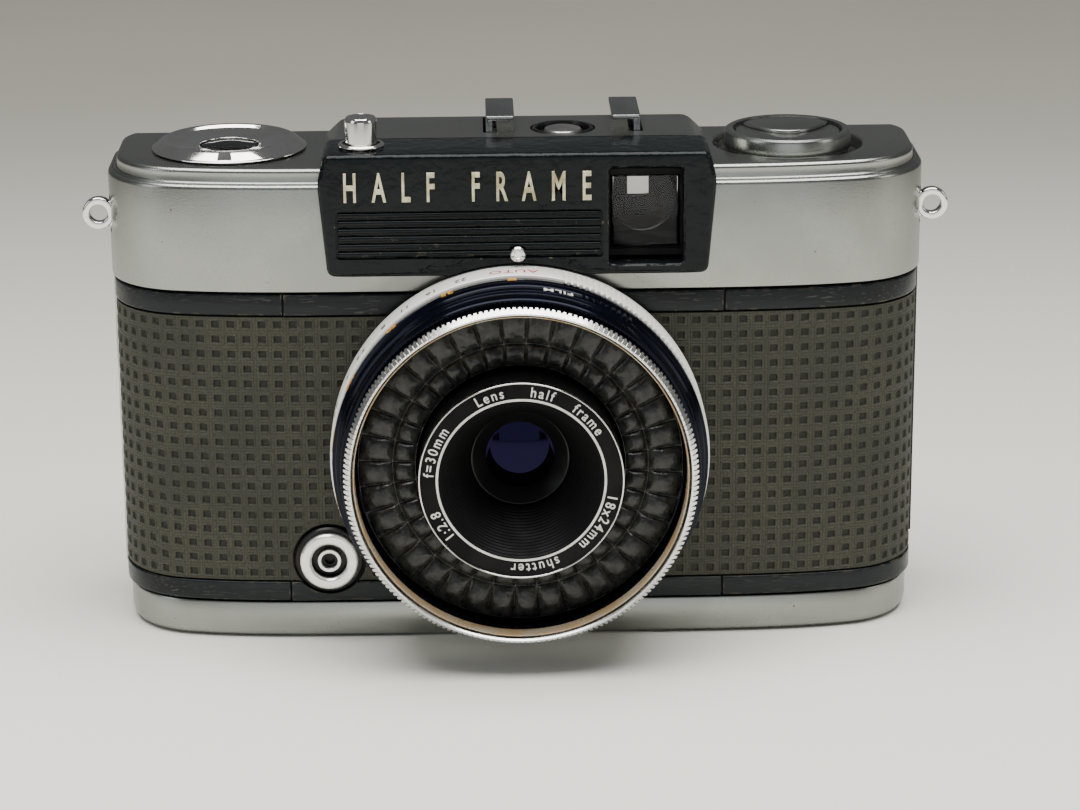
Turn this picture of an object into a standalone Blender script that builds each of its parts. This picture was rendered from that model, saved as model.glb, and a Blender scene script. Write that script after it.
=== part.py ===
"""Half frame camera: body, lens, finder, film transport and hinged back.

Sizes are in millimetres until they reach a mesh. +X is the right side seen from the
front, the lens looks along -Y and +Z is up. The origin is under the middle of the base.
"""
import math

import bmesh
import bpy
from mathutils import Matrix

MM = 0.001
WELD = 0.00001

# Plan outline of the body: flat front that bows back towards rounded ends.
HALF_WIDTH = 53.8
FRONT = -6.6
BOW_DEPTH = 2.48
BOW_AT = 47.0
BOW_POWER = 5.6
END_START = 45.0
BACK_RADIUS = 7.0
BODY_BACK = 21.1
COVER_BACK = 20.9
SKIN_END = 9.8

# Heights, from the base up.
BASE_HEIGHT = 5.2
TRIM_LOW = 5.6
LEATHER_LOW = 8.5
LEATHER_HIGH = 44.9
TRIM_HIGH = 48.0
COVER_LOW = 48.26
COVER_TOP = 64.5
HOUSING_TOP = 67.0
BUTTON_TOP = 71.1

# Axes that pieces share.
LENS_Z = 27.46
AXLE_Y = 7.5
REWIND_X = 36.1
CRANK_PIVOT = 6.0
COUNTER_X = -37.8
SPOOL_X = -38.0
WHEEL = (-36.0, 9.9)
WHEEL_RADIUS = 12.4
SPROCKET = (-19.5, 11.35)
BUTTON = (-20.0, -4.0)
HINGE = (-53.75, 10.45)
SHOE_X = 6.25
CONTACT_Y = 6.2
EYEPIECE = (17.0, 56.6)
SYNC = (-25.4, 11.5)
LUG = (55.0, 4.4, 56.7)
TRIPOD = (0.0, 7.0)
RELEASE = (-20.0, 10.0)

APERTURE_RADIUS = 24.69
KNOB_RADIUS = 8.4
LENS_FRONT = 22.4
CELL_SEAT = 14.7
GLASS_FRONT = 12.7

# Film: a 35 mm strip, 25 mm cassette and an 18 by 24 mm picture.
CASSETTE_RADIUS = 12.4
SPOOL_ROOM = 10.9
GATE = (9.0, 12.2)
FILM_PLANE = 17.4
ROOM_LOW = 9.0
ROOM_HIGH = 46.6

FINISHES = {
    "satin_chrome": ((0.55, 0.55, 0.53), 0.35, 1.0),
    "polished_chrome": ((0.75, 0.75, 0.76), 0.12, 1.0),
    "black_enamel": ((0.015, 0.02, 0.022), 0.15, 0.0),
    "black_paint": ((0.03, 0.034, 0.036), 0.45, 0.0),
    "blue_black": ((0.008, 0.01, 0.03), 0.12, 0.3),
    "leatherette": ((0.075, 0.07, 0.05), 0.6, 0.0),
    "cast_alloy": ((0.06, 0.06, 0.06), 0.5, 0.6),
    "steel": ((0.5, 0.5, 0.5), 0.3, 1.0),
    "brass": ((0.6, 0.45, 0.2), 0.35, 1.0),
    "clear_glass": ((0.5, 0.52, 0.6), 0.03, 0.0),
    "cell_plastic": ((0.02, 0.018, 0.016), 0.12, 0.0),
    "selenium": ((0.03, 0.02, 0.02), 0.5, 0.2),
    "black_plastic": ((0.012, 0.012, 0.013), 0.35, 0.0),
}

for old in list(bpy.data.objects):
    bpy.data.objects.remove(old, do_unlink=True)


def collection(name):
    made = bpy.data.collections.new(name)
    bpy.context.scene.collection.children.link(made)
    return made


CAMERA = collection("half_frame_camera")
CUTTERS = collection("cutters")


def material(name):
    made = bpy.data.materials.get(name)
    if made:
        return made
    colour, roughness, metallic = FINISHES[name]
    made = bpy.data.materials.new(name)
    made.use_nodes = True
    shader = made.node_tree.nodes["Principled BSDF"]
    shader.inputs["Base Color"].default_value = (*colour, 1.0)
    shader.inputs["Roughness"].default_value = roughness
    shader.inputs["Metallic"].default_value = metallic
    return made


def register(name, mesh, finish):
    """Put a mesh in the scene: a part with its finish, or a cutter if finish is None."""
    made = bpy.data.objects.new(name, mesh)
    if finish is None:
        CUTTERS.objects.link(made)
        made.hide_render = True
        made.display_type = "WIRE"
    else:
        CAMERA.objects.link(made)
        mesh.materials.append(material(finish))
    return made


def box(name, low, high, finish=None):
    """A block between two corners, with its origin in the middle."""
    shape = bmesh.new()
    bmesh.ops.create_cube(shape, size=1.0)
    size = [(b - a) * MM for a, b in zip(low, high)]
    bmesh.ops.scale(shape, vec=size, verts=shape.verts)
    mesh = bpy.data.meshes.new(name)
    shape.to_mesh(mesh)
    shape.free()
    made = register(name, mesh, finish)
    made.location = [(a + b) / 2 * MM for a, b in zip(low, high)]
    return made


# Turns a flat outline drawn in X and Y so that its thickness runs along the named axis.
FACING = {
    "Z": Matrix.Identity(4),
    "Y": Matrix.Rotation(math.radians(90), 4, "X"),
    "X": Matrix(((0, 0, 1, 0), (1, 0, 0, 0), (0, 1, 0, 0), (0, 0, 0, 1))),
}


def slab(name, outline, low, high, finish=None, facing="Z"):
    """A flat outline with thickness, from low to high along its facing axis."""
    curve = bpy.data.curves.new(name, "CURVE")
    curve.dimensions = "2D"
    curve.fill_mode = "BOTH"
    curve.extrude = (high - low) / 2 * MM
    spline = curve.splines.new("POLY")
    spline.points.add(len(outline) - 1)
    for point, (across, along) in zip(spline.points, outline):
        point.co = (across * MM, along * MM, 0, 1)
    spline.use_cyclic_u = True
    sketch = bpy.data.objects.new(name + "_sketch", curve)
    CUTTERS.objects.link(sketch)
    bpy.context.view_layer.update()
    evaluated = sketch.evaluated_get(bpy.context.evaluated_depsgraph_get())
    mesh = bpy.data.meshes.new_from_object(evaluated)
    bpy.data.objects.remove(sketch, do_unlink=True)
    mesh.materials.clear()
    mesh.transform(FACING[facing])
    shape = bmesh.new()
    shape.from_mesh(mesh)
    bmesh.ops.remove_doubles(shape, verts=shape.verts, dist=WELD)
    bmesh.ops.recalc_face_normals(shape, faces=shape.faces)
    shape.to_mesh(mesh)
    shape.free()
    made = register(name, mesh, finish)
    made.location["XYZ".index(facing)] = (low + high) / 2 * MM
    return made


def turned(name, profile, at, finish=None, steps=40, closed=True, facing="up"):
    """A turned piece. The profile is (radius, height), down the outer side first."""
    mesh = bpy.data.meshes.new(name)
    points = [(radius * MM, 0, height * MM) for radius, height in profile]
    edges = [(i, i + 1) for i in range(len(points) - 1)]
    if closed:
        edges.append((len(points) - 1, 0))
    mesh.from_pydata(points, edges, [])
    made = register(name, mesh, finish)
    spin = made.modifiers.new("turn", "SCREW")
    spin.axis = "Z"
    spin.angle = math.tau
    spin.steps = steps
    spin.render_steps = steps
    spin.use_merge_vertices = True
    spin.merge_threshold = WELD
    spin.use_smooth_shade = True
    made.location = [value * MM for value in at]
    if facing == "front":
        made.rotation_euler = (math.radians(90), 0, 0)
    return made


def ring(name, outer, inner, low, high, at, finish=None, steps=40, facing="up"):
    profile = [(outer, high), (outer, low), (inner, low), (inner, high)]
    return turned(name, profile, at, finish, steps, True, facing)


def disc(name, radius, low, high, at, finish=None, steps=24, facing="up"):
    profile = [(0, high), (radius, high), (radius, low), (0, low)]
    return turned(name, profile, at, finish, steps, False, facing)


def lens_ring(name, outer, inner, back, front, finish, steps=40):
    """A ring on the lens axis, from its back to its front Y position."""
    return ring(name, outer, inner, -back, -front, (0, 0, LENS_Z), finish, steps, "front")


def join(target, tool, operation):
    change = target.modifiers.new(tool.name, "BOOLEAN")
    change.operation = operation
    change.solver = "EXACT"
    change.object = tool


def cut(target, *tools):
    for tool in tools:
        join(target, tool, "DIFFERENCE")


def fuse(target, *tools):
    for tool in tools:
        join(target, tool, "UNION")


def round_rim(target, width, segments, height):
    """Bevel only the edges that lie at one local height of a slab."""
    mesh = target.data
    weights = mesh.attributes.new("bevel_weight_edge", "FLOAT", "EDGE")
    for edge in mesh.edges:
        ends = [mesh.vertices[i].co.z for i in edge.vertices]
        if all(abs(end - height * MM) < WELD for end in ends):
            weights.data[edge.index].value = 1.0
    bevel = target.modifiers.new("rim", "BEVEL")
    bevel.limit_method = "WEIGHT"
    bevel.width = width * MM
    bevel.segments = segments


def circle(radius, centre, count, start=0.0):
    angles = [start + math.tau * i / count for i in range(count)]
    return [(centre[0] + radius * math.cos(a), centre[1] + radius * math.sin(a)) for a in angles]


def front_point(across, inset):
    """A point of the bowed front, moved inwards by inset along its normal."""
    depth = BOW_DEPTH * (across / BOW_AT) ** BOW_POWER
    slope = BOW_POWER * depth / across if across else 0.0
    length = math.hypot(slope, 1.0)
    return across - inset * slope / length, FRONT + depth + inset / length


def end_arc():
    """Centre, radius and first angle of the round end that follows the bowed front."""
    depth = BOW_DEPTH * (END_START / BOW_AT) ** BOW_POWER
    angle = math.atan(BOW_POWER * depth / END_START)
    radius = (HALF_WIDTH - END_START) / (1 - math.sin(angle))
    return HALF_WIDTH - radius, FRONT + depth + radius * math.cos(angle), radius, angle


def right_side(inset, start, stations=(12, 22, 29, 34, 38, 41, 43.2, END_START), arc_steps=5):
    """The right half of the front, from X = start round to the widest point of the end."""
    points = [front_point(across, inset) for across in (start, *[s for s in stations if s > start])]
    centre_x, centre_y, radius, first = end_arc()
    for step in range(1, arc_steps + 1):
        angle = first + (math.pi / 2 - first) * step / arc_steps
        reach = radius - inset
        points.append((centre_x + reach * math.sin(angle), centre_y - reach * math.cos(angle)))
    return points


def body_outline(inset, back):
    """The whole plan outline, anticlockwise from the middle of the front."""
    right = right_side(inset, 0.0)
    centre_x = HALF_WIDTH - BACK_RADIUS
    centre_y = back - BACK_RADIUS
    reach = BACK_RADIUS - inset
    for step in range(5):
        angle = math.pi / 2 * step / 4
        right.append((centre_x + reach * math.cos(angle), centre_y + reach * math.sin(angle)))
    left = [(-across, along) for across, along in reversed(right)]
    return right + left[:-1]


def skin(name, side, start, inset, thickness, low, high, finish):
    """A thin covering that runs from X = start round one end of the body."""
    outer = right_side(inset, start)
    outer.append((HALF_WIDTH - inset, SKIN_END))
    inner = right_side(inset + thickness, start)
    inner.append((HALF_WIDTH - inset - thickness, SKIN_END))
    outline = outer + inner[::-1]
    if side < 0:
        outline = [(-across, along) for across, along in outline]
    return slab(name, outline, low, high, finish)


def lens_hole(name, radius, low, high, steps=40):
    return disc(name, radius, -high, -low, (0, 0, LENS_Z), None, steps, "front")


def build_base():
    plate = slab("bottom_plate", body_outline(0.8, BODY_BACK), 0, BASE_HEIGHT, "satin_chrome")
    round_rim(plate, 1.2, 2, -BASE_HEIGHT / 2)
    cut(plate, slab("base_room", body_outline(1.8, BODY_BACK), 1.0, BASE_HEIGHT + 1))
    cut(plate, disc("tripod_hole", 5.8, -1, 3, (*TRIPOD, 0)))
    cut(plate, disc("release_hole", 2.5, -1, 3, (*RELEASE, 0)))
    socket = [(0, 4.6), (7.0, 4.6), (7.0, 1.4), (5.5, 1.4), (5.5, 0.15), (3.1, 0.15), (3.1, 4.0), (0, 4.0)]
    turned("tripod_socket", socket, (*TRIPOD, 0), "steel", 24, False)
    turned("rewind_release_button", [(0, 4.2), (3.2, 4.2), (3.2, 1.5), (2.1, 1.5), (2.1, 0.2), (0, 0.2)],
           (*RELEASE, 0), "polished_chrome", 16, False)
    for index, (across, along) in enumerate(((-44.0, 7.5), (44.0, 7.5)), 1):
        cut(plate, disc(f"screw_hole_{index}", 2.0, -1, 3, (across, along, 0), None, 16))
        profile = [(0, 5.0), (0.9, 5.0), (0.9, 1.3), (1.7, 0.2), (0, 0.2)]
        turned(f"base_screw_{index}", profile, (across, along, 0), "steel", 16, False)


def build_casting():
    body = slab("body_casting", body_outline(1.15, BODY_BACK + 0.15), TRIM_LOW, TRIM_HIGH, "cast_alloy")
    for name, across, along, radius in (
            ("cassette", REWIND_X, AXLE_Y, CASSETTE_RADIUS),
            ("take_up", SPOOL_X, AXLE_Y, SPOOL_ROOM),
            ("sprocket", *SPROCKET, 6.9)):
        room = disc(name + "_room", radius, ROOM_LOW, ROOM_HIGH, (across, along, 0), None, 32)
        mouth = box(name + "_mouth", (across - radius, along, ROOM_LOW), (across + radius, 25, ROOM_HIGH))
        fuse(room, mouth)
        cut(body, room)
    cut(body, lens_hole("shutter_room", 19.6, -12, 2.2))
    cut(body, box("light_tunnel", (-GATE[0], 0, LENS_Z - GATE[1]), (GATE[0], 25, LENS_Z + GATE[1])))
    cut(body, box("film_channel", (-28, FILM_PLANE, ROOM_LOW), (26, 25, ROOM_HIGH)))
    cut(body, box("plate_recess", (-31, -12, 0), (27.8, -4.85, 60)))
    cut(body, disc("fork_hole", 2.2, 45, 50, (REWIND_X, AXLE_Y, 0), None, 16))


def build_skins():
    sync_hole = disc("sync_hole", 4.9, 4, 12, (SYNC[0], 0, SYNC[1]), None, 24, "front")
    lens_room = lens_hole("covering_hole", 23.3, -12, 0)
    for side, word in ((-1, "left"), (1, "right")):
        covering = skin(f"leatherette_{word}", side, 12.0, 0.4, 0.45, LEATHER_LOW, LEATHER_HIGH, "leatherette")
        cut(covering, lens_room)
        if side < 0:
            cut(covering, sync_hole)
        start = 30.8 if side < 0 else 27.1
        skin(f"trim_lower_{word}", side, start, 0.3, 0.6, TRIM_LOW, LEATHER_LOW - 0.25, "black_paint")
        skin(f"trim_upper_{word}", side, start, 0.3, 0.6, LEATHER_HIGH + 0.25, TRIM_HIGH, "black_paint")
    plate = box("front_plate", (-30.5, FRONT + 0.3, TRIM_LOW), (26.8, -5.15, TRIM_HIGH), "black_paint")
    cut(plate, box("plate_step", (-40, -12, LEATHER_LOW - 0.25), (40, -5.45, LEATHER_HIGH + 0.25)))
    cut(plate, lens_hole("plate_hole", 20.5, -12, 0))
    cut(plate, sync_hole)


def cover_back_corner(name, shift):
    """A cutter that rounds the top cover's back edge, moved inwards by shift."""
    arc = [(16.2, 64.6), (18.2, 64.1), (19.9, 62.6), (20.8, 60.6), (21.0, 58.0)]
    inner = [(along - shift, height - shift) for along, height in arc]
    return slab(name, [*inner, (30, inner[-1][1]), (30, 80), (inner[0][0], 80)], -70, 70, None, "X")


def build_top_cover():
    cover = slab("top_cover", body_outline(0.0, COVER_BACK), COVER_LOW, COVER_TOP, "satin_chrome")
    round_rim(cover, 1.2, 2, (COVER_TOP - COVER_LOW) / 2)
    cut(cover, cover_back_corner("cover_back_round", 0.0))
    housing = [(-25.7, 60), (25.7, 60), (25.7, 64.4), (23.0, HOUSING_TOP), (-23.0, HOUSING_TOP), (-25.7, 64.4)]
    fuse(cover, slab("housing", housing, 1.0, 14.3, None, "Y"))
    room = slab("cover_room", body_outline(1.0, COVER_BACK), COVER_LOW - 2, COVER_TOP - 1.0)
    cut(room, cover_back_corner("room_back_round", 1.0))
    cut(cover, room)
    housing_room = [(-24.6, 60), (24.6, 60), (24.6, 64.0), (22.5, HOUSING_TOP - 1), (-22.5, HOUSING_TOP - 1),
                    (-24.6, 64.0)]
    cut(cover, slab("housing_room", housing_room, 2.0, 13.3, None, "Y"))
    cut(cover, box("fascia_opening", (-23.8, -12, 52.2), (23.8, 0.9, 72)))
    cut(cover, box("finder_opening", (10.8, -2, 52.2), (22.3, 3, 64.8)))
    cut(cover, box("eyepiece_opening", (EYEPIECE[0] - 4.8, 18, EYEPIECE[1] - 4.7),
                   (EYEPIECE[0] + 4.8, 24, EYEPIECE[1] + 4.7)))
    cut(cover, box("wheel_slot", (WHEEL[0] - 8.5, 16, 49.3), (WHEEL[0] + 8.5, 24, 53.7)))
    cut(cover, disc("counter_hole", 9.0, 60, 70, (COUNTER_X, AXLE_Y, 0), None, 32))
    fuse(cover, disc("rewind_well", 10.8, 61.4, COVER_TOP - 0.5, (REWIND_X, AXLE_Y, 0), None, 40))
    cut(cover, disc("rewind_recess", 9.8, 62.5, 70, (REWIND_X, AXLE_Y, 0), None, 40))
    cut(cover, disc("rewind_hole", 2.1, 60, 65, (REWIND_X, AXLE_Y, 0), None, 16))
    cut(cover, disc("insulator_hole", 4.9, 65, 70, (SHOE_X, CONTACT_Y, 0), None, 24))
    for side in (-1, 1):
        middle = SHOE_X + side * 9.6
        cut(cover, box(f"shoe_slit_{side}", (middle - 0.9, 3.7, 65), (middle + 0.9, 13.1, 70)))
        across = side * LUG[0]
        cut(cover, box(f"lug_slit_{side}", (across - 4, LUG[1] - 1.05, LUG[2] - 2.55),
                       (across + 4, LUG[1] + 1.05, LUG[2] + 2.55)))
    for side, word in ((-1, "left"), (1, "right")):
        centre = (side * LUG[0], LUG[2])
        lug = slab(f"strap_lug_{word}", circle(2.2, centre, 24), LUG[1] - 0.75, LUG[1] + 0.75,
                   "polished_chrome", "Y")
        low = min(side * 51.0, side * 52.3)
        fuse(lug, box(f"lug_foot_{side}", (low, LUG[1] - 0.75, LUG[2] - 3.4),
                      (low + 1.3, LUG[1] + 0.75, LUG[2] + 3.4)))
        neck = min(side * 51.4, side * 53.4)
        fuse(lug, box(f"lug_neck_{side}", (neck, LUG[1] - 0.7, LUG[2] - 1.4),
                      (neck + 2.0, LUG[1] + 0.7, LUG[2] + 1.4)))
        cut(lug, slab(f"lug_hole_{side}", circle(1.2, (side * 55.15, LUG[2]), 16), 0, 9, None, "Y"))


def build_fascia():
    right = [(22.6, 50.8), (24.0, 51.2), (24.8, 52.6), (25.7, 63.5), (24.9, HOUSING_TOP)]
    outline = right + [(-across, height) for across, height in reversed(right)]
    fascia = slab("front_fascia", outline, -8.6, 0.7, "black_enamel", "Y")
    cut(fascia, box("fascia_back", (-30, -6.9, 40), (30, 5, 64.8)))
    cut(fascia, box("fascia_pocket", (-22.8, -7.5, 52.8), (22.8, -6, 64.9)))
    cut(fascia, box("fascia_window", (11.8, -10, 52.3), (21.3, -5.4, 64.9)))
    cut(fascia, disc("button_hole", 2.45, 60, 70, (*BUTTON, 0), None, 24))
    cut(fascia, lens_hole("ring_notch", APERTURE_RADIUS + 0.4, -12, 0, 48))
    disc("index_pin", 0.75, 8.9, 9.5, (0, 0, 53.85), "polished_chrome", 16, "front")
    ring("button_collar", 3.0, 2.45, HOUSING_TOP + 0.25, HOUSING_TOP + 0.7, (*BUTTON, 0), "polished_chrome", 24)
    button = [(0, BUTTON_TOP), (1.7, BUTTON_TOP), (2.1, BUTTON_TOP - 0.4), (2.1, 66.0), (1.0, 66.0),
              (1.0, 58.0), (0, 58.0)]
    turned("shutter_button", button, (*BUTTON, 0), "polished_chrome", 24, False)


def build_finder():
    tube = box("viewfinder_tube", (11.2, -6.5, 52.9), (21.9, 12.8, 64.4), "black_plastic")
    cut(tube, box("finder_bore", (12.0, -10, 53.7), (21.1, 11.8, 63.6)))
    cut(tube, box("finder_back", (EYEPIECE[0] - 2.9, 10, EYEPIECE[1] - 2.7),
                  (EYEPIECE[0] + 2.9, 20, EYEPIECE[1] + 2.7)))
    box("viewfinder_window", (12.3, -5.9, 54.0), (20.8, -5.1, 63.3), "clear_glass")
    slab("viewfinder_objective", circle(4.1, (16.55, 58.3), 24), 2.0, 3.6, "clear_glass", "Y")
    frame = box("eyepiece_frame", (EYEPIECE[0] - 4.5, 13.2, EYEPIECE[1] - 4.4),
                (EYEPIECE[0] + 4.5, 22.4, EYEPIECE[1] + 4.4), "black_plastic")
    cut(frame, disc("eyepiece_hole", 3.6, -30, -10, (EYEPIECE[0], 0, EYEPIECE[1]), None, 24, "front"))
    disc("eyepiece_glass", 3.3, -21.4, -20.4, (EYEPIECE[0], 0, EYEPIECE[1]), "clear_glass", 24, "front")


def build_shoe():
    low_y, high_y, ear_end = 4.0, 12.8, 15.4
    outer, inner, ear = 10.15, 9.05, 6.4
    top, under = 69.1, 68.5
    left = [(-outer, 65.0), (-outer, top), (-ear, top), (-ear, under), (-inner, under), (-inner, 65.6)]
    outline = left + [(-across, height) for across, height in reversed(left)]
    outline = [(across + SHOE_X, height) for across, height in outline]
    shoe = slab("accessory_shoe", outline, low_y, high_y, "satin_chrome", "Y")
    for side in (-1, 1):
        reach = sorted((SHOE_X + side * outer, SHOE_X + side * ear))
        fuse(shoe, box(f"shoe_ear_{side}", (reach[0], high_y - 1, under), (reach[1], ear_end, top)))
    centre = (SHOE_X, CONTACT_Y, 0)
    cup = [(0, 66.5), (4.2, 66.5), (4.2, 67.15), (4.6, 67.15), (4.6, 65.9), (0, 65.9)]
    turned("shoe_insulator", cup, centre, "black_plastic", 24, False)
    disc("shoe_contact", 3.85, 66.8, 67.25, centre, "steel", 24)


def build_counter():
    centre = (COUNTER_X, AXLE_Y, 0)
    bezel = [(8.5, 65.9), (10.2, 64.8), (8.7, 64.7), (8.7, 62.4), (3.9, 62.4), (3.9, 65.0), (7.9, 65.5)]
    turned("counter_bezel", bezel, centre, "polished_chrome", 40)
    disc("counter_window", 3.6, 64.2, 64.9, centre, "clear_glass", 24)
    dial = [(0, 61.8), (7.6, 61.8), (7.6, 61.0), (1.0, 61.0), (1.0, 57.0), (0, 57.0)]
    turned("counter_dial", dial, centre, "black_plastic", 32, False)


def build_sync_socket():
    centre = (SYNC[0], 0, SYNC[1])
    base = [(0, 7.2), (1.1, 7.2), (1.1, 6.5), (4.5, 6.5), (4.5, 5.15), (0, 5.15)]
    turned("sync_socket_base", base, centre, "black_plastic", 24, False, "front")
    ring("sync_socket_ring", 3.6, 2.5, 6.8, 7.6, centre, "polished_chrome", 24, "front")


def toothed(radius, depth, count, centre):
    """A disc outline with tapered teeth of the given depth."""
    points = []
    for index in range(count):
        for offset, reach in ((0.1, radius), (0.4, radius), (0.52, radius - depth), (0.98, radius - depth)):
            angle = math.tau * (index + offset) / count
            points.append((centre[0] + reach * math.cos(angle), centre[1] + reach * math.sin(angle)))
    return points


def build_lens():
    lens_ring("lens_mount", 22.9, 19.6, -6.85, -7.3, "black_paint")
    core = [(19.2, CELL_SEAT), (19.2, 0.9), (15.6, 0.9), (15.6, 4.0), (4.6, 4.0), (4.6, 5.0), (15.6, 5.0),
            (15.6, CELL_SEAT)]
    turned("lens_barrel", core, (0, 0, LENS_Z), "black_plastic", 40, True, "front")
    lens_ring("aperture_ring", APERTURE_RADIUS, 19.6, -7.6, -12.8, "satin_chrome", 48)
    speed = [(23.2, 19.0), (24.4, 13.1), (19.6, 13.1), (19.6, CELL_SEAT), (21.4, CELL_SEAT), (21.4, 19.0)]
    turned("film_speed_ring", speed, (0, 0, LENS_Z), "blue_black", 48, True, "front")
    focus = [(22.3, 22.06), (22.72, 21.7), (22.72, 19.3), (21.3, 19.3), (21.3, 21.6)]
    turned("focus_ring", focus, (0, 0, LENS_Z), "polished_chrome", 48, True, "front")
    lens_ring("selenium_cell", 20.9, 13.6, -CELL_SEAT - 0.3, -CELL_SEAT - 0.7, "selenium", 40)
    lens_ring("bubble_lens_ring", 21.0, 13.55, -CELL_SEAT - 1.0, -CELL_SEAT - 2.4, "cell_plastic", 40)
    name = [(13.2, LENS_FRONT), (13.2, 8.0), (11.3, 8.0), (11.3, 21.9), (11.0, 22.2)]
    turned("name_ring", name, (0, 0, LENS_Z), "polished_chrome", 40, True, "front")
    seat = GLASS_FRONT + 0.3
    cone = [(10.9, 21.9), (10.9, 21.0), (7.4, seat), (6.4, seat), (6.4, seat + 0.4), (10.3, 21.9)]
    turned("lens_cone", cone, (0, 0, LENS_Z), "black_plastic", 32, True, "front")
    glass = [(0, GLASS_FRONT), (3.5, GLASS_FRONT - 0.3), (6.9, GLASS_FRONT - 1.4), (6.9, GLASS_FRONT - 3.4),
             (0, GLASS_FRONT - 3.4)]
    turned("front_element", glass, (0, 0, LENS_Z), "clear_glass", 32, False, "front")
    rear = [(0, 3.4), (5.4, 3.4), (5.4, 2.2), (3.0, 1.6), (0, 1.4)]
    turned("rear_element", rear, (0, 0, LENS_Z), "clear_glass", 24, False, "front")


def build_shutter():
    lens_ring("shutter_plate", 19.0, 4.4, 0.2, -0.5, "cast_alloy", 32)
    blade = [(-10.6, -8.4), (-9.5, -8.9), (0.5, -4.9), (0.5, 4.7), (-4.7, 4.7), (-6.0, -1.5)]
    for side, word, back in ((-1, "left", 0.5), (1, "right", 1.0)):
        pivot = (side * 9.5, -7.5)
        outline = [(-side * across - pivot[0], height - pivot[1]) for across, height in blade]
        leaf = slab(f"shutter_blade_{word}", outline, -0.1, 0.1, "steel", "Y")
        leaf.location = (pivot[0] * MM, (back + 0.1) * MM, (LENS_Z + pivot[1]) * MM)


def build_transport():
    wheel = slab("advance_wheel", toothed(WHEEL_RADIUS, 0.5, 36, (0, 0)), 49.8, 53.2, "black_plastic")
    wheel.location = (WHEEL[0] * MM, WHEEL[1] * MM, wheel.location.z)
    spool = [(0, 46.2), (9.8, 46.2), (9.8, 45.3), (5.0, 45.3), (5.0, 10.4), (9.8, 10.4), (9.8, 9.4), (0, 9.4)]
    turned("take_up_spool", spool, (SPOOL_X, AXLE_Y, 0), "black_plastic", 24, False)
    drum = disc("sprocket", 4.4, 9.5, 46.0, (*SPROCKET, 0), "steel", 20)
    for index, height in enumerate((13.5, 41.4)):
        teeth = slab(f"sprocket_teeth_{index}", toothed(6.2, 0.9, 8, SPROCKET), height - 0.7, height + 0.7)
        fuse(drum, teeth)


def build_rewind():
    centre = (REWIND_X, AXLE_Y, 0)
    knob = [(0, 65.2), (7.0, 65.2), (7.3, 66.4), (8.0, 66.4), (KNOB_RADIUS, 66.0), (KNOB_RADIUS, 62.9),
            (0, 62.9)]
    turned("rewind_knob", knob, centre, "satin_chrome", 40, False)
    fork = disc("rewind_fork", 1.6, 38.0, 62.6, centre, "steel", 16)
    fuse(fork, box("fork_blade", (REWIND_X - 2.5, AXLE_Y - 0.6, 37.2), (REWIND_X + 2.5, AXLE_Y + 0.6, 40.2)))
    ring("rewind_bush", 3.8, 1.9, 49.5, 52.5, centre, "brass", 24)
    back_arc = [(6.4 * math.cos(a), 6.4 * math.sin(a)) for a in [math.radians(10 + 16 * i) for i in range(11)]]
    front_arc = [(x, -1.2 + 2.3 * (x / 6.3) ** 2) for x in (-5.0, -3.0, 0.0, 3.0, 5.0)]
    outline = [(x, y - CRANK_PIVOT) for x, y in back_arc + front_arc]
    crank = slab("rewind_crank", outline, -0.45, 0.45, "polished_chrome")
    crank.location = (REWIND_X * MM, (AXLE_Y + CRANK_PIVOT) * MM, 66.0 * MM)


def build_door():
    door = slab("back_door", body_outline(-0.3, BODY_BACK), TRIM_LOW + 0.1, TRIM_HIGH - 0.1, "black_paint")
    cut(door, slab("door_room", body_outline(0.6, BODY_BACK), 0, 60))
    cut(door, box("door_front", (-70, -40, -10), (70, HINGE[1] + 0.65, 70)))
    box("door_covering", (-46.3, 21.65, LEATHER_LOW + 0.3), (46.3, 22.1, LEATHER_HIGH - 0.3), "leatherette")
    disc("hinge_pin", 0.4, TRIM_LOW + 0.3, TRIM_HIGH - 0.3, (*HINGE, 0), "steel", 12)
    latch = [(9.95, 8.8), (10.85, 8.8), (10.85, 47.6), (9.95, 47.6)]
    slab("door_latch", latch, 53.2, 54.2, "black_paint", "X")
    box("pressure_plate", (-19.0, FILM_PLANE + 0.4, 11.0), (19.0, FILM_PLANE + 1.5, 44.0), "black_paint")
    leaf = [(-12.0, 19.75), (12.0, 19.75), (12.0, 20.1), (-12.0, 20.1)]
    slab("pressure_spring", leaf, 24.5, 30.5, "brass")


build_base()
build_casting()
build_skins()
build_top_cover()
build_fascia()
build_finder()
build_shoe()
build_counter()
build_sync_socket()
build_lens()
build_shutter()
build_transport()
build_rewind()
build_door()
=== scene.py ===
import bisect
import math

import bmesh
import bpy
from mathutils import Matrix, Vector


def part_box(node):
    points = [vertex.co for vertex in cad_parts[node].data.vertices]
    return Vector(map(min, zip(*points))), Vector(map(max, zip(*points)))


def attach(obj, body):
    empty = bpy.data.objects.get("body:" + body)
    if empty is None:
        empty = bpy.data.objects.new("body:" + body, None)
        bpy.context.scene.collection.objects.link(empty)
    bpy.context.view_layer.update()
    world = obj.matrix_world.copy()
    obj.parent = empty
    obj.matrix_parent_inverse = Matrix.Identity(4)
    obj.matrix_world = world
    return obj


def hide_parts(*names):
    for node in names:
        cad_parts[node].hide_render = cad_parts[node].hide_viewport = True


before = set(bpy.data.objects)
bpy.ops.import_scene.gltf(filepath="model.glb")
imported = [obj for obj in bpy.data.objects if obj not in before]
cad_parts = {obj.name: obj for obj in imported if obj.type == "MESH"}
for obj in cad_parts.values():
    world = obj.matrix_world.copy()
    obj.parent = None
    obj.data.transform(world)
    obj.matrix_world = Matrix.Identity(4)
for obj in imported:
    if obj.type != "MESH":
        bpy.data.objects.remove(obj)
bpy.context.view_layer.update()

# Half frame camera: the looks. Lengths are in millimetres until they reach a mesh.
mm = 0.001


def span(node):
    low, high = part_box(node)
    return low / mm, high / mm


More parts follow.
